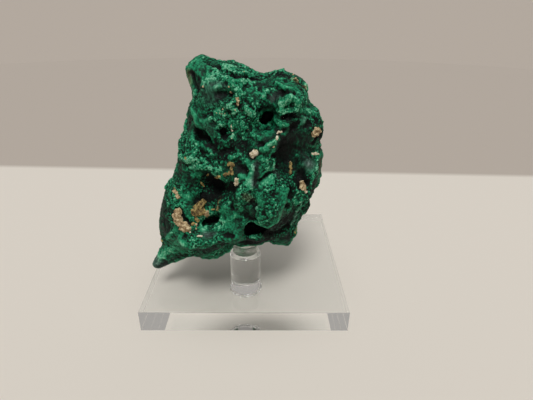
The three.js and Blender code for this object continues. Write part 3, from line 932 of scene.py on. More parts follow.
@dataclass
class Malachite:
    """The stone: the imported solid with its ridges, crust and silky faces worked in."""

    seed: int = 11
    coarse_voxel: float = 0.9
    middle_voxel: float = 0.6
    fine_voxel: float = 0.38
    fold_size: float = 8.0
    fold_height: float = 0.8
    fold_bend: float = 0.45
    fold_level: float = 0.55
    dent_share: float = 0.8
    calmed: float = 0.6
    blocks: tuple[tuple[float, float], ...] = ((7.0, 0.45), (3.4, 0.35))
    crag_size: float = 4.4
    crag_height: float = 0.6
    crack_size: float = 5.2
    crack_depth: float = 0.45
    bead_size: float = 2.0
    bead_height: float = 0.3
    shard_size: float = 0.95
    shard_height: float = 0.2
    shard_level: float = 0.2
    smooth_size: float = 9.0
    smooth_share: float = 0.6
    most_triangles: int = 196000
    streak_size: float = 0.8
    streak_height: float = 0.28
    fibre_stretch: float = 0.86
    lump_rise: float = 2.2
    ridge_kept: float = 0.72
    other_marks: int = 110
    other_fans: int = 30
    hidden_facing: float = -0.25
    hidden_from: float = -18.0
    shading: Shading = Shading()
    obj: bpy.types.Object = field(init=False)

    def build(self) -> bpy.types.Object:
        """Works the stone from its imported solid.

        Returns:
            The finished piece, undressed.
        """
        self.noise = Noise(self.seed)
        self._copy_solid()
        self._seat_marks()
        self._push_forms()
        remesh(self.obj, self.middle_voxel)
        self._push_marks()
        remesh(self.obj, self.fine_voxel)
        self._push_crust()
        return self.obj

    def _copy_solid(self) -> None:
        """Starts from a merged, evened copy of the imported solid."""
        self.obj = merged_copy("malachite", "malachite_stone")
        remesh(self.obj, self.coarse_voxel)
        finish_with(self.obj, "SMOOTH", factor=0.5, iterations=8)

    def _seat_marks(self) -> None:
        """Sets the face's marks on the stone, and scatters others over its sides and back."""
        tree = BVHTree.FromObject(self.obj, bpy.context.evaluated_depsgraph_get())
        self.marks = [self._seat(mark, tree) for mark in MARKS + CLOUDS]
        self.fans = []
        for x, z, reach, (across, up) in FANS:
            seated = self._seat(Mark([(x, z)], reach), tree)
            way = np.array([across, 0.0, up])
            way -= seated.normal * (way @ seated.normal)
            self.fans.append((seated, way / np.linalg.norm(way)))
        rng = np.random.default_rng(self.seed)
        surface = Surface(self.obj)
        turned_away = surface.normals[:, 1] > self.hidden_facing
        hidden = np.flatnonzero(turned_away | (surface.points[:, 1] > self.hidden_from))
        for start in rng.choice(hidden, self.other_marks):
            place, normal = surface.points[start], surface.normals[start]
            way = np.cross(normal, rng.normal(size=3))
            end = place + way / np.linalg.norm(way) * rng.uniform(1, 7)
            foot, _, _, _ = tree.find_nearest(Vector(end * MM))
            # Hidden ridges get a painted highlight, pits painted shade, and silk a painted
            # grey-violet sheen.
            kind = rng.choice(["ridge", "pit", "silk"], p=[0.42, 0.38, 0.2])
            reach = rng.uniform(0.9, 2.2)
            mark = {
                "ridge": Mark([], reach, rng.uniform(0.8, 1.8), rng.uniform(0.2, 0.6)),
                "pit": Mark([], reach, rng.uniform(-2.8, -1), rng.uniform(-1, -0.6)),
                "silk": Mark([], reach * 2, 0.3, rng.uniform(-0.2, 0.1), 0.8, rng.uniform(0, 1)),
            }[str(kind)]
            self.marks.append(SeatedMark(mark, [place, np.array(foot) / MM], normal))
        for start in rng.choice(hidden, self.other_fans):
            place, normal = surface.points[start], surface.normals[start]
            way = np.cross(normal, rng.normal(size=3))
            fan = SeatedMark(Mark([], rng.uniform(3, 6)), [place], normal)
            self.fans.append((fan, way / np.linalg.norm(way)))

    def _seat(self, mark: Mark, tree: BVHTree) -> SeatedMark:
        """Finds where a mark's corners lie on the face.

        Args:
            mark: The mark.
            tree: The stone's surface.

        Returns:
            The mark with its path and the way the surface faces there.
        """
        path, normals = [], []
        for x, z in mark.corners:
            place, normal = seat_on_face(tree, x, z)
            path.append(np.array(place) / MM)
            normals.append(np.array(normal))
        facing = sum(normals)
        return SeatedMark(mark, path, facing / np.linalg.norm(facing))

    def _push_forms(self) -> None:
        """Raises the large swellings and the lump and sinks the hollows."""
        surface = Surface(self.obj)
        normals = surface.blur(surface.normals, 6)
        rise = sum(form.rise * form.share(surface.points) for form in FORMS)
        surface.points += normals * rise[:, None]
        in_front = smoothstep(0.1, 0.5, -normals[:, 1])
        surface.points[:, 1] -= self.lump_rise * in_front * self._lump_share(surface.points)
        surface.write()

    def _lump_share(self, points: np.ndarray) -> np.ndarray:
        """How much of the lump's rise each point takes, with a steep step at its outline.

        Args:
            points: The stone's points in millimetres.

        Returns:
            A share from 0 to 1 for each point.
        """
        corners = [(x, 0.0, z) for x, z in LUMP]
        flat = points * np.array([1.0, 0.0, 1.0])
        inside = np.zeros(len(points), bool)
        away = np.full(len(points), np.inf)
        for start, end in zip(corners, corners[1:] + corners[:1]):
            away = np.minimum(away, distance_to_stretch(flat, start, end))
            spans = (start[2] > flat[:, 2]) != (end[2] > flat[:, 2])
            drop = (flat[:, 2] - start[2]) / (end[2] - start[2] or 1e-9)
            inside ^= spans & (flat[:, 0] < start[0] + drop * (end[0] - start[0]))
        return smoothstep(-0.5, 0.8, np.where(inside, away, -away))

    def _mark_sums(self, points: np.ndarray) -> dict[str, np.ndarray]:
        """Adds up what all marks do at each point, with their outlines made uneven.

        Args:
            points: The stone's points in millimetres.

        Returns:
            The rise, tone, smooth, painted grey-violet sheen and stain of each point.
        """
        bent = points + 0.6 * self.noise.warp(points / 2.6 + 50)
        bent += 0.35 * self.noise.warp(points / 0.9 + 50)
        sums = {name: np.zeros(len(points)) for name in ("rise", "tone", "smooth", "painted_sheen", "stain")}
        for seated in self.marks:
            share = seated.share(bent)
            for name, total in sums.items():
                total += getattr(seated.mark, name) * share
        return sums

    def _push_marks(self) -> None:
        """Works in the marks, and folds the whole surface into ridges and dents."""
        surface = Surface(self.obj)
        sums = self._mark_sums(surface.points)
        sums["rise"] = np.where(sums["rise"] > 0, self.ridge_kept * sums["rise"], sums["rise"])
        points = surface.points / self.fold_size
        bent = points + self.fold_bend * self.noise.warp(points * 0.8)
        fold = self.noise.ridges(bent, 3) - self.fold_level
        dent = np.minimum(self.noise.fractal(bent * 1.3 + 40, 2), 0)
        calm = 1 - self.calmed * np.clip(sums["smooth"], -0.5, 1)
        rise = sums["rise"] + self.fold_height * calm * (fold + self.dent_share * dent)
        bent = surface.points + 0.9 * self.noise.warp(surface.points / 4 + 20)
        for size, height in self.blocks:
            rise += height * calm * (self.noise.shards(bent / size)[0] - self.shard_level)
        surface.points += surface.blur(surface.normals, 3) * rise[:, None]
        surface.write()

    def _push_crust(self) -> None:
        """Adds the granular crust and the silky streaks, and stores what colours the stone, with
        painted shade in its hollows and cracks and painted highlights on its crests among it.
        """
        surface = Surface(self.obj)
        points = surface.points
        sums = self._mark_sums(points)
        silky = smoothstep(0.0, 0.5, self.noise.hills(points / self.smooth_size))
        smooth = np.clip(sums["smooth"] + self.smooth_share * silky, -0.5, 1)
        streaks = self.noise.fractal(self._fibre_place(points) / self.streak_size + 80, 2)
        bent = points + 1.0 * self.noise.warp(points / 3.2) + 0.35 * self.noise.warp(points / 1.2)
        crags = self.noise.ridges(bent / self.crag_size, 3) ** 1.5 - 0.5
        cracks = self.noise.ridges(bent / self.crack_size + 31, 2) ** 4
        beads = self.noise.beads(bent / self.bead_size) - 0.5
        beaded = smoothstep(0.0, 0.5, self.noise.hills(points / 11 + 7))
        jagged = points + 0.45 * self.noise.warp(points / 1.0)
        shards, own = self.noise.shards(jagged / self.shard_size)
        crust = self.crag_height * crags - self.crack_depth * cracks
        crust += self.bead_height * beaded * beads + self.shard_height * (shards - self.shard_level)
        height = (1 - 0.8 * smooth) * crust + self.streak_height * (0.5 + 0.5 * smooth) * streaks
        surface.points = points + surface.normals * height[:, None]
        surface.write()
        surface = Surface(self.obj)
        # The relief below, in three widths, paints hollows darker and crests paler: painted shade
        # and painted highlight.
        fine, middle, broad = surface.relief(3), surface.relief(14), surface.relief(110)
        rough = 1 - np.clip(smooth, 0, 1)
        patches = self.noise.fractal(points / 2.4 + 60, 3)
        speckle = self.noise.fractal(points / 1.0 + 70, 2)
        # Positive tone, on ridges, is painted highlight broken up by noise; negative tone, in pits
        # and grooves, is painted shade.
        tone = np.clip(sums["tone"], -1.4, 0.8)
        tone = np.where(tone > 0, tone * np.clip(0.75 + 0.7 * patches + 1.2 * speckle, 0, 1.5), tone)
        look = self.shading
        shade = look.base + look.fine * fine + look.middle * middle + look.broad * broad
        shade += look.marks * tone
        drift = self.noise.fractal(points / 6 + 90, 3)
        shade += (0.05 + 0.1 * np.clip(smooth, 0, 1)) * streaks + 0.1 * drift
        # Cracks are painted darker, as painted shade; each crystal's random tone is partly its own
        # colour and partly painted sparkle, and the patches are the stone's own tone.
        shade += 0.14 * rough * (own - 0.5) - 0.12 * rough * cracks + 0.1 * patches
        # Caps the painted highlights, so that the palest crests don't turn white.
        shade = np.minimum(shade, look.crest + look.crest_kept * (shade - look.crest))
        surface.store("shade", shade)
        surface.store("smooth", smooth)
        surface.store("fibre", self._fibre_place(points) * MM)
        surface.store("painted_sheen", np.clip(sums["painted_sheen"], 0, 1))
        surface.store("stain", np.clip(sums["stain"], 0, 1))
        triangles = sum(len(face.vertices) - 2 for face in self.obj.data.polygons)
        finish_with(self.obj, "DECIMATE", ratio=min(1.0, self.most_triangles / triangles))
        only(self.obj)
        bpy.ops.object.shade_smooth()

    def _fibre_place(self, points: np.ndarray) -> np.ndarray:
        """Shortens places along each fan's fibres, so that noise read there runs into streaks.

        Args:
            points: The stone's points in millimetres.

        Returns:
            The shortened places.
        """
        shift, weights = np.zeros_like(points), np.full(len(points), 0.08)
        for seated, way in self.fans:
            share = seated.share(points)
            near = np.flatnonzero(share > 0.01)
            along = (points[near] - seated.path[0]) @ way
            shift[near] += (share[near] * along * self.fibre_stretch)[:, None] * way
            weights[near] += share[near]
        return points - shift / weights[:, None]


class MalachiteFinish:
    """Fibrous malachite, as grown: silky deep green, with painted highlights that make its crests
    pale and painted shade that makes its pits black.

    It grew as a crust of fine fibres and tiny crystals and was never cut or polished. To the
    eye, the fibres' loose ends are a dull velvet, their sides have a soft sheen along the fans,
    and light is lost in the pits. Here the pits' darkness and the crests' paleness are painted into
    the colour as painted shade and painted highlight, and a grey-violet sheen on silky patches is
    painted as colour too. Real fibres are about 0.05 mm thick and the crystals 0.1 to
    0.3 mm, too fine to show, so both patterns are drawn coarser, at the sizes below.
    """

    fibre_size: float = 0.55
    crystal_size: float = 0.62
    bend_size: float = 1.1
    bend: float = 0.8
    bump_height: float = 0.5
    texture_level: float = 0.57

    # The darkest greens are reached in the hollows and the palest on the crests, as painted shade
    # and painted highlight.
    greens: dict[float, str] = {
        0.0: "#010705",
        0.2: "#03150f",
        0.4: "#073a28",
        0.55: "#0e6645",
        0.7: "#1e8d63",
        0.85: "#38a678",
        1.0: "#7fcda6",
    }
    # The grey-violet ramp paints a silky sheen into the colour: a painted sheen.
    greys: dict[float, str] = {0.0: "#0a100f", 0.4: "#24332f", 0.7: "#4a625b", 1.0: "#8fa8a0"}
    rusts: dict[float, str] = {0.0: "#120c05", 0.4: "#3d2c16", 0.7: "#7d6540", 1.0: "#c8b48c"}

    def make(self) -> bpy.types.Material:
        """Builds the material from the stone's relief and from noise at the crystals' size.

        Returns:
            The material.
        """
        material, tree, output = new_material("malachite_fibrous")
        place = add_node(tree, "TexCoord").outputs["Object"]
        shade, painted_sheen, stain, smooth = (
            add_node(tree, "Attribute", {"attribute_name": name}).outputs["Fac"]
            for name in ("shade", "painted_sheen", "stain", "smooth")
        )
        wave = add_node(
            tree,
            "TexNoise",
            links={"Vector": place, "Scale": 1 / (self.bend_size * MM), "Detail": 3.0},
        )
        bent = add_node(
            tree,
            "Mix",
            {"data_type": "VECTOR", "clamp_factor": True},
            {"Factor": self.bend * MM, 4: place, 5: wave.outputs["Color"]},
        ).outputs[1]
        crystals = add_node(
            tree, "TexVoronoi", links={"Vector": bent, "Scale": 1 / (self.crystal_size * MM)}
        )
        own = add_node(tree, "SeparateColor", links={0: crystals.outputs["Color"]}).outputs[0]
        specks = add_node(
            tree, "Math", {"operation": "MULTIPLY_ADD"}, {0: own, 1: 0.6, 2: wave.outputs["Fac"]}
        ).outputs[0]
        # Darker towards each crystal's edge: painted shade in the crevices between crystals. The
        # crystal's own number, in specks, is partly its own tone and partly painted sparkle.
        edge = add_node(
            tree,
            "Math",
            {"operation": "MULTIPLY_ADD"},
            {0: crystals.outputs["Distance"], 1: -0.5, 2: specks},
        ).outputs[0]
        along = add_node(tree, "Attribute", {"attribute_name": "fibre"}).outputs["Vector"]
        fibres = add_node(
            tree,
            "TexNoise",
            links={"Vector": along, "Scale": 1 / (self.fibre_size * MM), "Detail": 4.0},
        ).outputs["Fac"]
        texture = add_node(
            tree, "Mix", {"data_type": "FLOAT"}, {"Factor": smooth, 2: edge, 3: fibres}
        ).outputs[0]
        centred = add_node(
            tree, "Math", {"operation": "SUBTRACT"}, {0: texture, 1: self.texture_level}
        ).outputs[0]
        contrast = add_node(
            tree, "MapRange", links={"Value": smooth, "To Min": 0.85, "To Max": 0.45}
        ).outputs["Result"]
        share = add_node(
            tree, "Math", {"operation": "MULTIPLY_ADD"}, {0: centred, 1: contrast, 2: shade}
        ).outputs[0]
        colour = add_node(tree, "ValToRGB", links={"Fac": share}, stops=self.greens).outputs["Color"]
        # Mixes in the painted grey-violet sheen and the real rust stain by their shares.
        for amount, stops in ((painted_sheen, self.greys), (stain, self.rusts)):
            other = add_node(tree, "ValToRGB", links={"Fac": share}, stops=stops).outputs["Color"]
            colour = add_node(
                tree, "Mix", {"data_type": "RGBA"}, {"Factor": amount, 6: colour, 7: other}
            ).outputs[2]
        bump = add_node(
            tree,
            "Bump",
            links={"Strength": 0.9, "Distance": self.bump_height * MM, "Height": texture},
        )
        rough = add_node(
            tree, "MapRange", links={"Value": smooth, "To Min": 0.7, "To Max": 0.45}
        ).outputs["Result"]
        shader = add_node(
            tree,
            "BsdfPrincipled",
            links={
                "Base Color": colour,
                "Roughness": rough,
                "IOR": 1.5,
                "Specular IOR Level": 0.2,
                "Normal": bump.outputs["Normal"],
            },
        )
        tree.links.new(shader.outputs[0], output.inputs["Surface"])
        return material


# ---- The stand ----


@dataclass(frozen=True)
class ClearFinish:
    """A clear plastic of the stand, which lets light through to what lies behind it.

    The floor under the stand is lit through it, and a ray that has turned inside more often
    than bounces_kept passes straight on. Without that it would be lost and leave black edges.
    """

    name: str
    ior: float
    roughness: float
    tint: str
    shade: str = "#fbfcfc"
    bounces_kept: float = 3.5

    def make(self) -> bpy.types.Material:
        """Builds the material.

        Returns:
            The material.
        """
        material, tree, output = new_material(self.name)
        shader = add_node(
            tree,
            "BsdfPrincipled",
            links={
                "Base Color": linear(self.tint),
                "Roughness": self.roughness,
                "IOR": self.ior,
                "Transmission Weight": 1.0,
            },
        )
        rays = add_node(tree, "LightPath")
        clear = add_node(tree, "BsdfTransparent", links={"Color": linear(self.shade)})
        surface = shader.outputs[0]
        worn_out = add_node(
            tree,
            "Math",
            {"operation": "GREATER_THAN"},
            {0: rays.outputs["Glossy Depth"], 1: self.bounces_kept},
        ).outputs[0]
        for passes in (worn_out, rays.outputs["Is Diffuse Ray"], rays.outputs["Is Shadow Ray"]):
            surface = add_node(
                tree, "MixShader", links={0: passes, 1: surface, 2: clear.outputs[0]}
            ).outputs[0]
        tree.links.new(surface, output.inputs["Surface"])
        return material


# Acrylic cast as sheet and rod and buffed: water clear, with sharp reflections.
ACRYLIC = ClearFinish("acrylic_cast_polished", 1.49, 0.0, "#ffffff")

# Solvent cement that ran out round the post's foot and cured uneven: clear but cloudy.
CEMENT = ClearFinish("acrylic_cement_cured", 1.46, 0.3, "#ffffff")

# Soft mounting tack, pressed by hand: clear, with a dull skin.
TACK = ClearFinish("tack_clear_pressed", 1.46, 0.25, "#f1f1ec")


@dataclass
class Stand:
    """The square plate, the round post and the bead of tack that holds the stone."""

    edge_round: float = 0.12
    end_round: float = 0.3
    joint_depth: float = 1.0
    cement_thick: float = 0.65
    cement_seed: int = 3
    post_sides: int = 160
    edge_steps: int = 3
    smooth_below: float = 8.0
    tack_voxel: float = 0.3

    def build_plate_and_post(self) -> bpy.types.Object:
        """Makes the plate with crisp edges and the post that is cemented to it.

        Returns:
            Both as one clear body, because no light turns where they are cemented.
        """
        low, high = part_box("base_plate")
        bpy.ops.mesh.primitive_cube_add(size=1, location=(low + high) / 2)
        plate = bpy.context.object
        plate.name = plate.data.name = "acrylic_stand"
        plate.scale = high - low
        bpy.ops.object.transform_apply(location=True, rotation=True, scale=True)
        finish_with(plate, "BEVEL", width=self.edge_round * MM, segments=self.edge_steps)
        foot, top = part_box("post")
        sunk = Vector((0, 0, self.joint_depth * MM))
        bpy.ops.mesh.primitive_cylinder_add(
            vertices=self.post_sides,
            radius=(top.x - foot.x) / 2,
            depth=(top - foot + sunk).z,
            location=(foot + top - sunk) / 2,
        )
        post = bpy.context.object
        bpy.ops.object.transform_apply(location=True, rotation=True, scale=True)
        finish_with(
            post,
            "BEVEL",
            width=self.end_round * MM,
            segments=self.edge_steps,
            angle_limit=math.radians(40),
        )
        finish_with(plate, "BOOLEAN", object=post, operation="UNION", solver="EXACT")
        bpy.data.objects.remove(post)
        only(plate)
        bpy.ops.object.shade_smooth_by_angle(angle=math.radians(self.smooth_below))
        return plate

    def build_cement(self) -> bpy.types.Object:
        """Makes the uneven, cloudy bead of cement round the post's foot.

        Returns:
            The bead.
        """
        foot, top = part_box("post")
        bpy.ops.mesh.primitive_torus_add(
            location=((foot.x + top.x) / 2, (foot.y + top.y) / 2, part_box("base_plate")[1].z),
            major_segments=self.post_sides,
            minor_segments=12,
            major_radius=(top.x - foot.x) / 2,
            minor_radius=self.cement_thick * MM,
        )
        ring = bpy.context.object
        ring.name = ring.data.name = "cement_bead"
        bpy.ops.object.transform_apply(location=True, rotation=True, scale=True)
        remesh(ring, self.cement_thick * 0.35)
        surface = Surface(ring)
        noise = Noise(self.cement_seed)
        swell = 1.1 * self.cement_thick * noise.fractal(surface.points / 1.1, 3)
        surface.points += surface.normals * swell[:, None]
        surface.write()
        return ring

    def build_tack(self) -> bpy.types.Object:
        """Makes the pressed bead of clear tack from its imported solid.

        Returns:
            The bead.
        """
        tack = merged_copy("mineral_tack", "clear_tack_bead")
        remesh(tack, self.tack_voxel)
        finish_with(tack, "SMOOTH", factor=0.5, iterations=6)
        return tack


# ---- Grains on the stone ----


class Crumb(Enum):
    """What a cluster of grains is made of."""

    OCHRE = "limonite_ochre"
    TAN = "limonite_tan"
    WHITE = "gangue_white"


@dataclass(frozen=True)
class Cluster:
    """Grains that grow on the stone's face along x, z corners, in millimetres."""

    crumb: Crumb
    corners: list[tuple[float, float]]
    width: float
    count: int

    def at(self, share: float) -> np.ndarray:
        """Finds a place on the way along the corners.

        Args:
            share: How far along it is, from 0 to 1.

        Returns:
            Its x and z.
        """
        corners = np.array(self.corners, float)
        steps = np.linspace(0, 1, len(corners))
        return np.array([np.interp(share, steps, column) for column in corners.T])


CLUSTERS = [
    Cluster(Crumb.TAN, [(-26.3, 53), (-26.2, 50.5), (-24, 48.2), (-22.4, 47.1)], 3.0, 15),
    Cluster(Crumb.WHITE, [(-23.2, 48.6), (-22.4, 47.4)], 1.2, 3),
    Cluster(Crumb.WHITE, [(-20.8, 46.2)], 1.0, 1),
    Cluster(Crumb.OCHRE, [(-21.5, 47.8), (-19.8, 49)], 1.2, 3),
    Cluster(Crumb.TAN, [(-18.7, 48.4), (-18.7, 47.4)], 0.9, 3),
    Cluster(Crumb.OCHRE, [(-19.6, 54), (-16.4, 55.6)], 2.9, 8),
    Cluster(Crumb.OCHRE, [(-19, 52.8), (-16.2, 53)], 2.6, 7),
    Cluster(Crumb.OCHRE, [(-18.5, 50.3)], 1.5, 2),
    Cluster(Crumb.TAN, [(-14.6, 52.8), (-14.8, 51.3)], 1.9, 5),
    Cluster(Crumb.OCHRE, [(-12.5, 53.8), (-10.5, 54.2)], 0.8, 4),
    Cluster(Crumb.TAN, [(-26.6, 60.8), (-25.5, 59.2)], 1.6, 5),
    Cluster(Crumb.OCHRE, [(-27, 62)], 0.9, 1),
    Cluster(Crumb.OCHRE, [(-16.7, 63.8), (-16, 62.3)], 0.9, 4),
    Cluster(Crumb.OCHRE, [(-13.8, 67.6)], 1.0, 2),
    Cluster(Crumb.OCHRE, [(-21.5, 74.8)], 1.0, 2),
    Cluster(Crumb.OCHRE, [(-5, 73.6), (-3.6, 73.6)], 1.6, 5),
    Cluster(Crumb.OCHRE, [(-4.2, 72.4), (-3.7, 70.6)], 1.3, 4),
    Cluster(Crumb.OCHRE, [(-7, 69.3), (-5, 70.4)], 1.3, 5),
    Cluster(Crumb.OCHRE, [(-10.5, 67), (-9, 68.3)], 1.2, 4),
    Cluster(Crumb.WHITE, [(-1.8, 69), (-2.6, 66.5)], 1.4, 4),
    Cluster(Crumb.WHITE, [(2.2, 72)], 0.7, 1),
    Cluster(Crumb.WHITE, [(4.7, 79)], 2.2, 5),
    Cluster(Crumb.OCHRE, [(3.8, 77.6)], 1.0, 2),
    Cluster(Crumb.TAN, [(-1.5, 97.3), (-1.5, 95.2)], 1.2, 4),
    Cluster(Crumb.TAN, [(-2.2, 93.3)], 0.8, 1),
    Cluster(Crumb.TAN, [(-0.2, 92.8)], 0.7, 1),
    Cluster(Crumb.TAN, [(-4.5, 101)], 0.8, 1),
    Cluster(Crumb.TAN, [(-3.8, 98.8)], 0.8, 1),
    Cluster(Crumb.TAN, [(-13.7, 100.5)], 0.8, 1),
    Cluster(Crumb.TAN, [(-6.5, 93.5)], 0.7, 1),
    Cluster(Crumb.TAN, [(-9, 91.8), (-4.3, 91.6)], 0.6, 6),
    Cluster(Crumb.WHITE, [(-4, 88), (-4, 86.5), (-3.3, 85.3), (-3.7, 83)], 0.6, 6),
    Cluster(Crumb.WHITE, [(2.1, 86.2)], 0.6, 1),
    Cluster(Crumb.WHITE, [(12.5, 84), (12.8, 85.5), (14.3, 86)], 0.9, 8),
    Cluster(Crumb.TAN, [(11.5, 81.5)], 0.8, 1),
    Cluster(Crumb.WHITE, [(15, 90.6)], 0.6, 1),
    Cluster(Crumb.TAN, [(27.3, 84.8)], 2.5, 6),
    Cluster(Crumb.OCHRE, [(18.3, 72), (18.2, 68.8)], 1.4, 6),
    Cluster(Crumb.TAN, [(18.3, 72.6)], 0.9, 1),
    Cluster(Crumb.WHITE, [(26.8, 75.6), (29.3, 74.6)], 1.1, 5),
    Cluster(Crumb.TAN, [(23, 63.7)], 2.1, 5),
    Cluster(Crumb.WHITE, [(24.5, 62)], 1.1, 2),
    Cluster(Crumb.TAN, [(19, 103.3), (21, 103.5)], 0.9, 4),
    Cluster(Crumb.WHITE, [(-18.2, 44.8), (-16.4, 44.8)], 0.8, 4),
    Cluster(Crumb.OCHRE, [(1.7, 106.8)], 0.9, 1),
    Cluster(Crumb.OCHRE, [(-36, 35.5)], 1.1, 2),
    Cluster(Crumb.OCHRE, [(21.5, 39.5)], 1.1, 2),
]


@dataclass
class Grains:
    """Limonite and pale gangue that grow on the stone, one mesh for each kind."""

    stone: bpy.types.Object
    seed: int = 5
    voxel: float = 0.22
    hidden_clusters: int = 6
    hidden_facing: float = -0.1
    hidden_from: float = -12.0
    sunk: float = 0.12
    roughness: float = 0.3
    pitting: float = 0.12

    def build(self, crumb: Crumb) -> bpy.types.Object:
        """Makes all grains of one kind.

        Args:
            crumb: The kind.

        Returns:
            One mesh with every grain of that kind.
        """
        rng = np.random.default_rng(self.seed + list(Crumb).index(crumb))
        tree = BVHTree.FromObject(self.stone, bpy.context.evaluated_depsgraph_get())
        made = []
        for cluster in CLUSTERS:
            if cluster.crumb is crumb:
                made += self._cluster(cluster, tree, rng)
        made += self._hidden(rng)
        bpy.ops.object.select_all(action="DESELECT")
        for grain in made:
            grain.select_set(True)
        bpy.context.view_layer.objects.active = made[0]
        bpy.ops.object.join()
        grains = bpy.context.object
        grains.name = grains.data.name = crumb.value
        remesh(grains, self.voxel)
        self._roughen(grains)
        return grains

    def _cluster(
        self, cluster: Cluster, tree: BVHTree, rng: np.random.Generator
    ) -> list[bpy.types.Object]:
        """Sets a cluster's grains on the stone's face.

        Args:
            cluster: The cluster.
            tree: The stone's surface.
            rng: What the grains' sizes and turns are drawn from.

        Returns:
            One block for each grain.
        """
        made = []
        for share in np.linspace(0, 1, cluster.count) if cluster.count > 1 else [0.5]:
            loose = 0.22 if len(cluster.corners) == 1 and cluster.count > 1 else 0.1
            x, z = cluster.at(share) + rng.normal(size=2) * cluster.width * loose
            place, normal = seat_on_face(tree, x, z)
            made.append(self._grain(place, normal, cluster.width * rng.uniform(0.6, 0.85), rng))
        return made

    def _hidden(self, rng: np.random.Generator) -> list[bpy.types.Object]:
        """Scatters small clusters over the stone's sides and back.

        Args:
            rng: What the clusters' places and grains are drawn from.

        Returns:
            One block for each grain.
        """
        surface = Surface(self.stone)
        turned_away = surface.normals[:, 1] > self.hidden_facing
        hidden = np.flatnonzero(turned_away & (surface.points[:, 1] > self.hidden_from))
        made = []
        for start in rng.choice(hidden, self.hidden_clusters):
            away = np.linalg.norm(surface.points - surface.points[start], axis=1)
            near = np.flatnonzero(away < rng.uniform(0.8, 2.6))
            for point in rng.choice(near, rng.integers(2, 8)):
                place, normal = surface.points[point] * MM, surface.normals[point]
                made.append(self._grain(Vector(place), Vector(normal), rng.uniform(0.7, 1.7), rng))
        return made

    def _grain(
        self, place: Vector, normal: Vector, size: float, rng: np.random.Generator
    ) -> bpy.types.Object:
        """Makes one rough block, sunk in the stone for a part of its size.

        Args:
            place: Where it grows, in metres.
            normal: The way the stone's surface faces there.
            size: Its width in millimetres.
            rng: What its turn and proportions are drawn from.

        Returns:
            The block.
        """
        bpy.ops.mesh.primitive_cube_add(
            size=size * MM,
            location=place + normal * size * self.sunk * MM,
            rotation=rng.uniform(0, math.tau, 3),
        )
        grain = bpy.context.object
        grain.scale = rng.uniform(0.75, 1.25, 3)
        bpy.ops.object.transform_apply(location=True, rotation=True, scale=True)
        return grain

    def _roughen(self, grains: bpy.types.Object) -> None:
        """Wears the grains' corners and pits their faces.

        Args:
            grains: One mesh with every grain of a kind.
        """
        surface = Surface(grains)
        noise = Noise(self.seed + 50)
        surface.points = surface.blur(surface.points, 2)
        height = self.roughness * noise.fractal(surface.points / 1.1, 3)
        height += self.pitting * noise.shards(surface.points / 0.6)[0]
        surface.points += surface.normals * height[:, None]
        surface.write()
        surface = Surface(grains)
        # The grains' relief is stored to paint their hollows darker and their bumps paler, as
        # painted shade and painted highlight.
        surface.store("relief_fine", surface.relief(6))


@dataclass(frozen=True)
class EarthyFinish:
    """An earthy, matte crust as it grew, with painted shade in its hollows and painted highlights on
    its bumps.

    Weathered iron oxide and pale vein mineral grow as a fine powdery grit. To the eye they have
    no gloss; their hollows are painted darker, as painted shade, and their bumps paler, as painted
    highlight. Real grit is under 0.1 mm, too fine to show, so its mottling is drawn coarser, at the
    size below.
    """

    name: str
    dark: str
    middle: str
    pale: str
    grit_size: float = 1.3
    bump_height: float = 0.2

    def make(self) -> bpy.types.Material:
        """Builds the material from the grains' relief and noise at the grit's size.

        Returns:
            The material.
        """
        material, tree, output = new_material(self.name)
        place = add_node(tree, "TexCoord").outputs["Object"]
        fine = add_node(tree, "Attribute", {"attribute_name": "relief_fine"}).outputs["Fac"]
        noise = add_node(
            tree,
            "TexNoise",
            links={"Vector": place, "Scale": 1 / (self.grit_size * MM), "Detail": 4.0},
        ).outputs["Fac"]
        # The grains' relief paints hollows darker and bumps paler, as painted shade and painted
        # highlight; the noise is the grit's own mottling.
        share = add_node(
            tree, "Math", {"operation": "MULTIPLY_ADD"}, {0: fine, 1: 1.6, 2: noise}
        ).outputs[0]
        colour = add_node(
            tree,
            "ValToRGB",
            links={"Fac": share},
            stops={0.25: self.dark, 0.5: self.middle, 0.75: self.pale},
        ).outputs["Color"]
        bump = add_node(
            tree,
            "Bump",
            links={"Strength": 0.5, "Distance": self.bump_height * MM, "Height": noise},
        )
        shader = add_node(
            tree,
            "BsdfPrincipled",
            links={"Base Color": colour, "Roughness": 0.8, "Normal": bump.outputs["Normal"]},
        )
        tree.links.new(shader.outputs[0], output.inputs["Surface"])
        return material


# The dark stop is reached in the grains' hollows and the pale one on their bumps, as painted shade
# and painted highlight.
CRUMB_FINISHES = {
    Crumb.OCHRE: EarthyFinish("limonite_ochre_earthy", "#2a2010", "#6f5c34", "#b59f62"),
    Crumb.TAN: EarthyFinish("limonite_tan_earthy", "#55432b", "#a68c66", "#dccaa2"),
    Crumb.WHITE: EarthyFinish("gangue_white_earthy", "#85764f", "#cfc2a2", "#f2e7d2"),
}


# ---- Floor, light and camera ----


@dataclass(frozen=True)
class Lamp:
    """A far lamp: its strength, how wide it looks in degrees, and the way to it."""

    name: str
    energy: float
    angle: float
    way: Point
    colour: Point = (1.0, 0.985, 0.965)


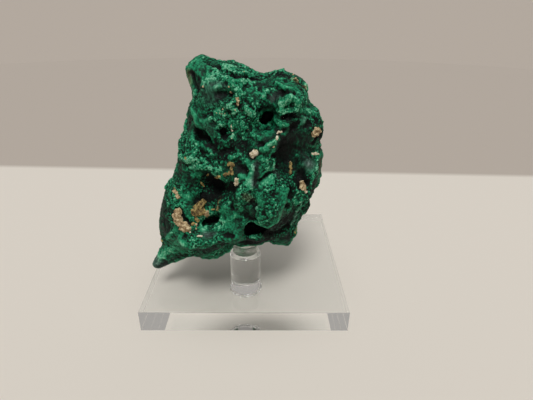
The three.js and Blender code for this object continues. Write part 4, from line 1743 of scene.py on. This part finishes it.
@dataclass
class Studio:
    """A pale floor, two soft lamps, a dim room and the camera in front.

    Lengths are in millimetres and angles in degrees. The floor is paler up to tone_line behind
    the specimen, as a table is before a wall, and its edge is turned a little. The room's glow
    is a band of directions by their height, 0 level and 1 straight up, brighter behind.
    """

    flat_radius: float = 1200.0
    rim_radius: float = 6000.0
    rim_rise: float = 900.0
    floor_drop: float = 0.2
    floor_near: str = "#e2dcd3"
    floor_far: str = "#bbb2a9"
    tone_line: float = 146.5
    tone_line_turn: float = 0.036
    tone_blur: float = 4.0
    room_low: float = 0.03
    room_high: float = 0.06
    glow_ends: float = 0.74
    glow_full: float = 0.66
    glow: float = 0.33
    glow_in_front: float = 0.3
    camera_place: Point = (7.68, -169.7, 122.98)
    pitch: float = 25.65
    yaw: float = -0.61
    roll: float = 0.55
    lens: float = 25.68
    lamps: tuple[Lamp, ...] = (
        Lamp("lamp_in_front", 1.6, 16, (-0.02, -0.5, 1)),
        Lamp("lamp_overhead", 0.88, 50, (0.06, -0.12, 1)),
    )

    def build_floor(self) -> bpy.types.Object:
        """Makes the floor, a little darker beyond the table's back edge, with a rising rim.

        Returns:
            The floor.
        """
        bpy.ops.mesh.primitive_circle_add(
            vertices=96,
            radius=self.flat_radius * MM,
            fill_type="NGON",
            location=(0, 0, -self.floor_drop * MM),
        )
        floor = bpy.context.object
        floor.name = floor.data.name = "floor"
        bpy.ops.object.transform_apply(location=True, rotation=True, scale=True)
        bpy.ops.object.mode_set(mode="EDIT")
        bpy.ops.mesh.select_mode(type="EDGE")
        bpy.ops.mesh.select_all(action="SELECT")
        bpy.ops.mesh.extrude_edges_move()
        wider = self.rim_radius / self.flat_radius
        bpy.ops.transform.resize(value=(wider, wider, 1))
        bpy.ops.transform.translate(value=(0, 0, self.rim_rise * MM))
        bpy.ops.object.mode_set(mode="OBJECT")
        material, tree, output = new_material("floor_painted_matte")
        place = add_node(tree, "TexCoord").outputs["Object"]
        split = add_node(tree, "SeparateXYZ", links={0: place}).outputs
        across = add_node(
            tree,
            "Math",
            {"operation": "MULTIPLY_ADD"},
            {0: split["X"], 1: self.tone_line_turn, 2: split["Y"]},
        ).outputs[0]
        depth = add_node(tree, "Math", {"operation": "ABSOLUTE"}, {0: across}).outputs[0]
        share = add_node(
            tree,
            "MapRange",
            links={
                "Value": depth,
                "From Min": (self.tone_line - self.tone_blur) * MM,
                "From Max": (self.tone_line + self.tone_blur) * MM,
            },
        ).outputs["Result"]
        colour = add_node(
            tree, "ValToRGB", links={"Fac": share}, stops={0.0: self.floor_near, 1.0: self.floor_far}
        ).outputs["Color"]
        shader = add_node(
            tree,
            "BsdfPrincipled",
            links={"Base Color": colour, "Roughness": 0.9, "Specular IOR Level": 0.1},
        )
        tree.links.new(shader.outputs[0], output.inputs["Surface"])
        dress(floor, material)
        return floor

    def build_light(self) -> None:
        """Lights with the two lamps and a dim room that glows in a band behind the specimen."""
        world = bpy.data.worlds.new("soft_room")
        world.use_nodes = True
        tree = world.node_tree
        tree.nodes.clear()
        output = add_node(tree, "OutputWorld")
        way = add_node(tree, "TexCoord").outputs["Generated"]
        height = add_node(tree, "SeparateXYZ", links={0: way}).outputs["Z"]
        glow = add_node(
            tree,
            "MapRange",
            links={
                "Value": height,
                "From Min": 0.15,
                "From Max": 0.8,
                "To Min": self.room_low,
                "To Max": self.room_high,
            },
        ).outputs["Result"]
        behind = add_node(tree, "SeparateXYZ", links={0: way}).outputs["Y"]
        low = add_node(
            tree,
            "MapRange",
            links={
                "Value": height,
                "From Min": self.glow_ends,
                "From Max": self.glow_full,
                "To Max": self.glow,
            },
        ).outputs["Result"]
        facing = add_node(
            tree,
            "MapRange",
            links={
                "Value": behind,
                "From Min": -0.2,
                "From Max": 0.6,
                "To Min": self.glow_in_front,
                "To Max": 1.0,
            },
        ).outputs["Result"]
        glow = add_node(
            tree, "Math", {"operation": "MULTIPLY_ADD"}, {0: low, 1: facing, 2: glow}
        ).outputs[0]
        light = add_node(tree, "Background", links={"Color": linear("#fffaf4"), "Strength": glow})
        tree.links.new(light.outputs[0], output.inputs["Surface"])
        bpy.context.scene.world = world
        for lamp in self.lamps:
            bpy.ops.object.light_add(type="SUN", location=(0, 0, 1))
            sun = bpy.context.object
            sun.name = lamp.name
            sun.data.energy = lamp.energy
            sun.data.angle = math.radians(lamp.angle)
            sun.data.color = lamp.colour
            sun.rotation_euler = Vector(lamp.way).to_track_quat("Z", "Y").to_euler()

    def build_camera(self) -> None:
        """Sets the camera at eye level in front of the specimen, looking down on it."""
        pitch, yaw, roll = map(math.radians, (self.pitch, self.yaw, self.roll))
        ahead = Vector(
            (-math.sin(yaw) * math.cos(pitch), math.cos(yaw) * math.cos(pitch), -math.sin(pitch))
        )
        right = Vector((math.cos(yaw), math.sin(yaw), 0))
        up = right.cross(ahead)
        rolled_right = math.cos(roll) * right + math.sin(roll) * up
        rolled_up = -math.sin(roll) * right + math.cos(roll) * up
        data = bpy.data.cameras.new("camera")
        data.lens = self.lens
        data.sensor_width = 36.0
        data.clip_start = 0.01
        camera = bpy.data.objects.new("camera", data)
        bpy.context.scene.collection.objects.link(camera)
        turned = Matrix((rolled_right, rolled_up, -ahead)).transposed()
        camera.matrix_world = Matrix.Translation(Vector(self.camera_place) * MM) @ turned.to_4x4()
        bpy.context.scene.camera = camera


# ---- Assembly ----


def add_piece(obj: bpy.types.Object, material: bpy.types.Material, slot: str, *nodes: str) -> None:
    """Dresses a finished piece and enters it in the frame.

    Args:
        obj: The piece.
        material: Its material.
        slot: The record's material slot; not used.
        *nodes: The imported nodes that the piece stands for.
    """
    dress(obj, material)
    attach(obj, BODY)
    if nodes:
        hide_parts(*nodes)
    log.info("%s: %d faces", obj.name, len(obj.data.polygons))


def main() -> None:
    """Builds every piece, the floor, the light and the camera."""
    logging.basicConfig(level=logging.INFO, format="%(name)s: %(message)s")
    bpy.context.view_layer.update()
    bpy.context.scene.view_settings.view_transform = "Standard"
    studio = Studio()
    stand = Stand()
    add_piece(stand.build_plate_and_post(), ACRYLIC.make(), "clear_acrylic", "base_plate", "post")
    add_piece(stand.build_cement(), CEMENT.make(), "clear_acrylic")
    add_piece(stand.build_tack(), TACK.make(), "clear_tack", "mineral_tack")
    stone = Malachite().build()
    add_piece(stone, MalachiteFinish().make(), "malachite", "malachite")
    grains = Grains(stone)
    for crumb, finish in CRUMB_FINISHES.items():
        slot = "pale_gangue" if crumb is Crumb.WHITE else "limonite"
        add_piece(grains.build(crumb), finish.make(), slot)
    studio.build_floor()
    studio.build_light()
    studio.build_camera()


if __name__ == "__main__":
    main()
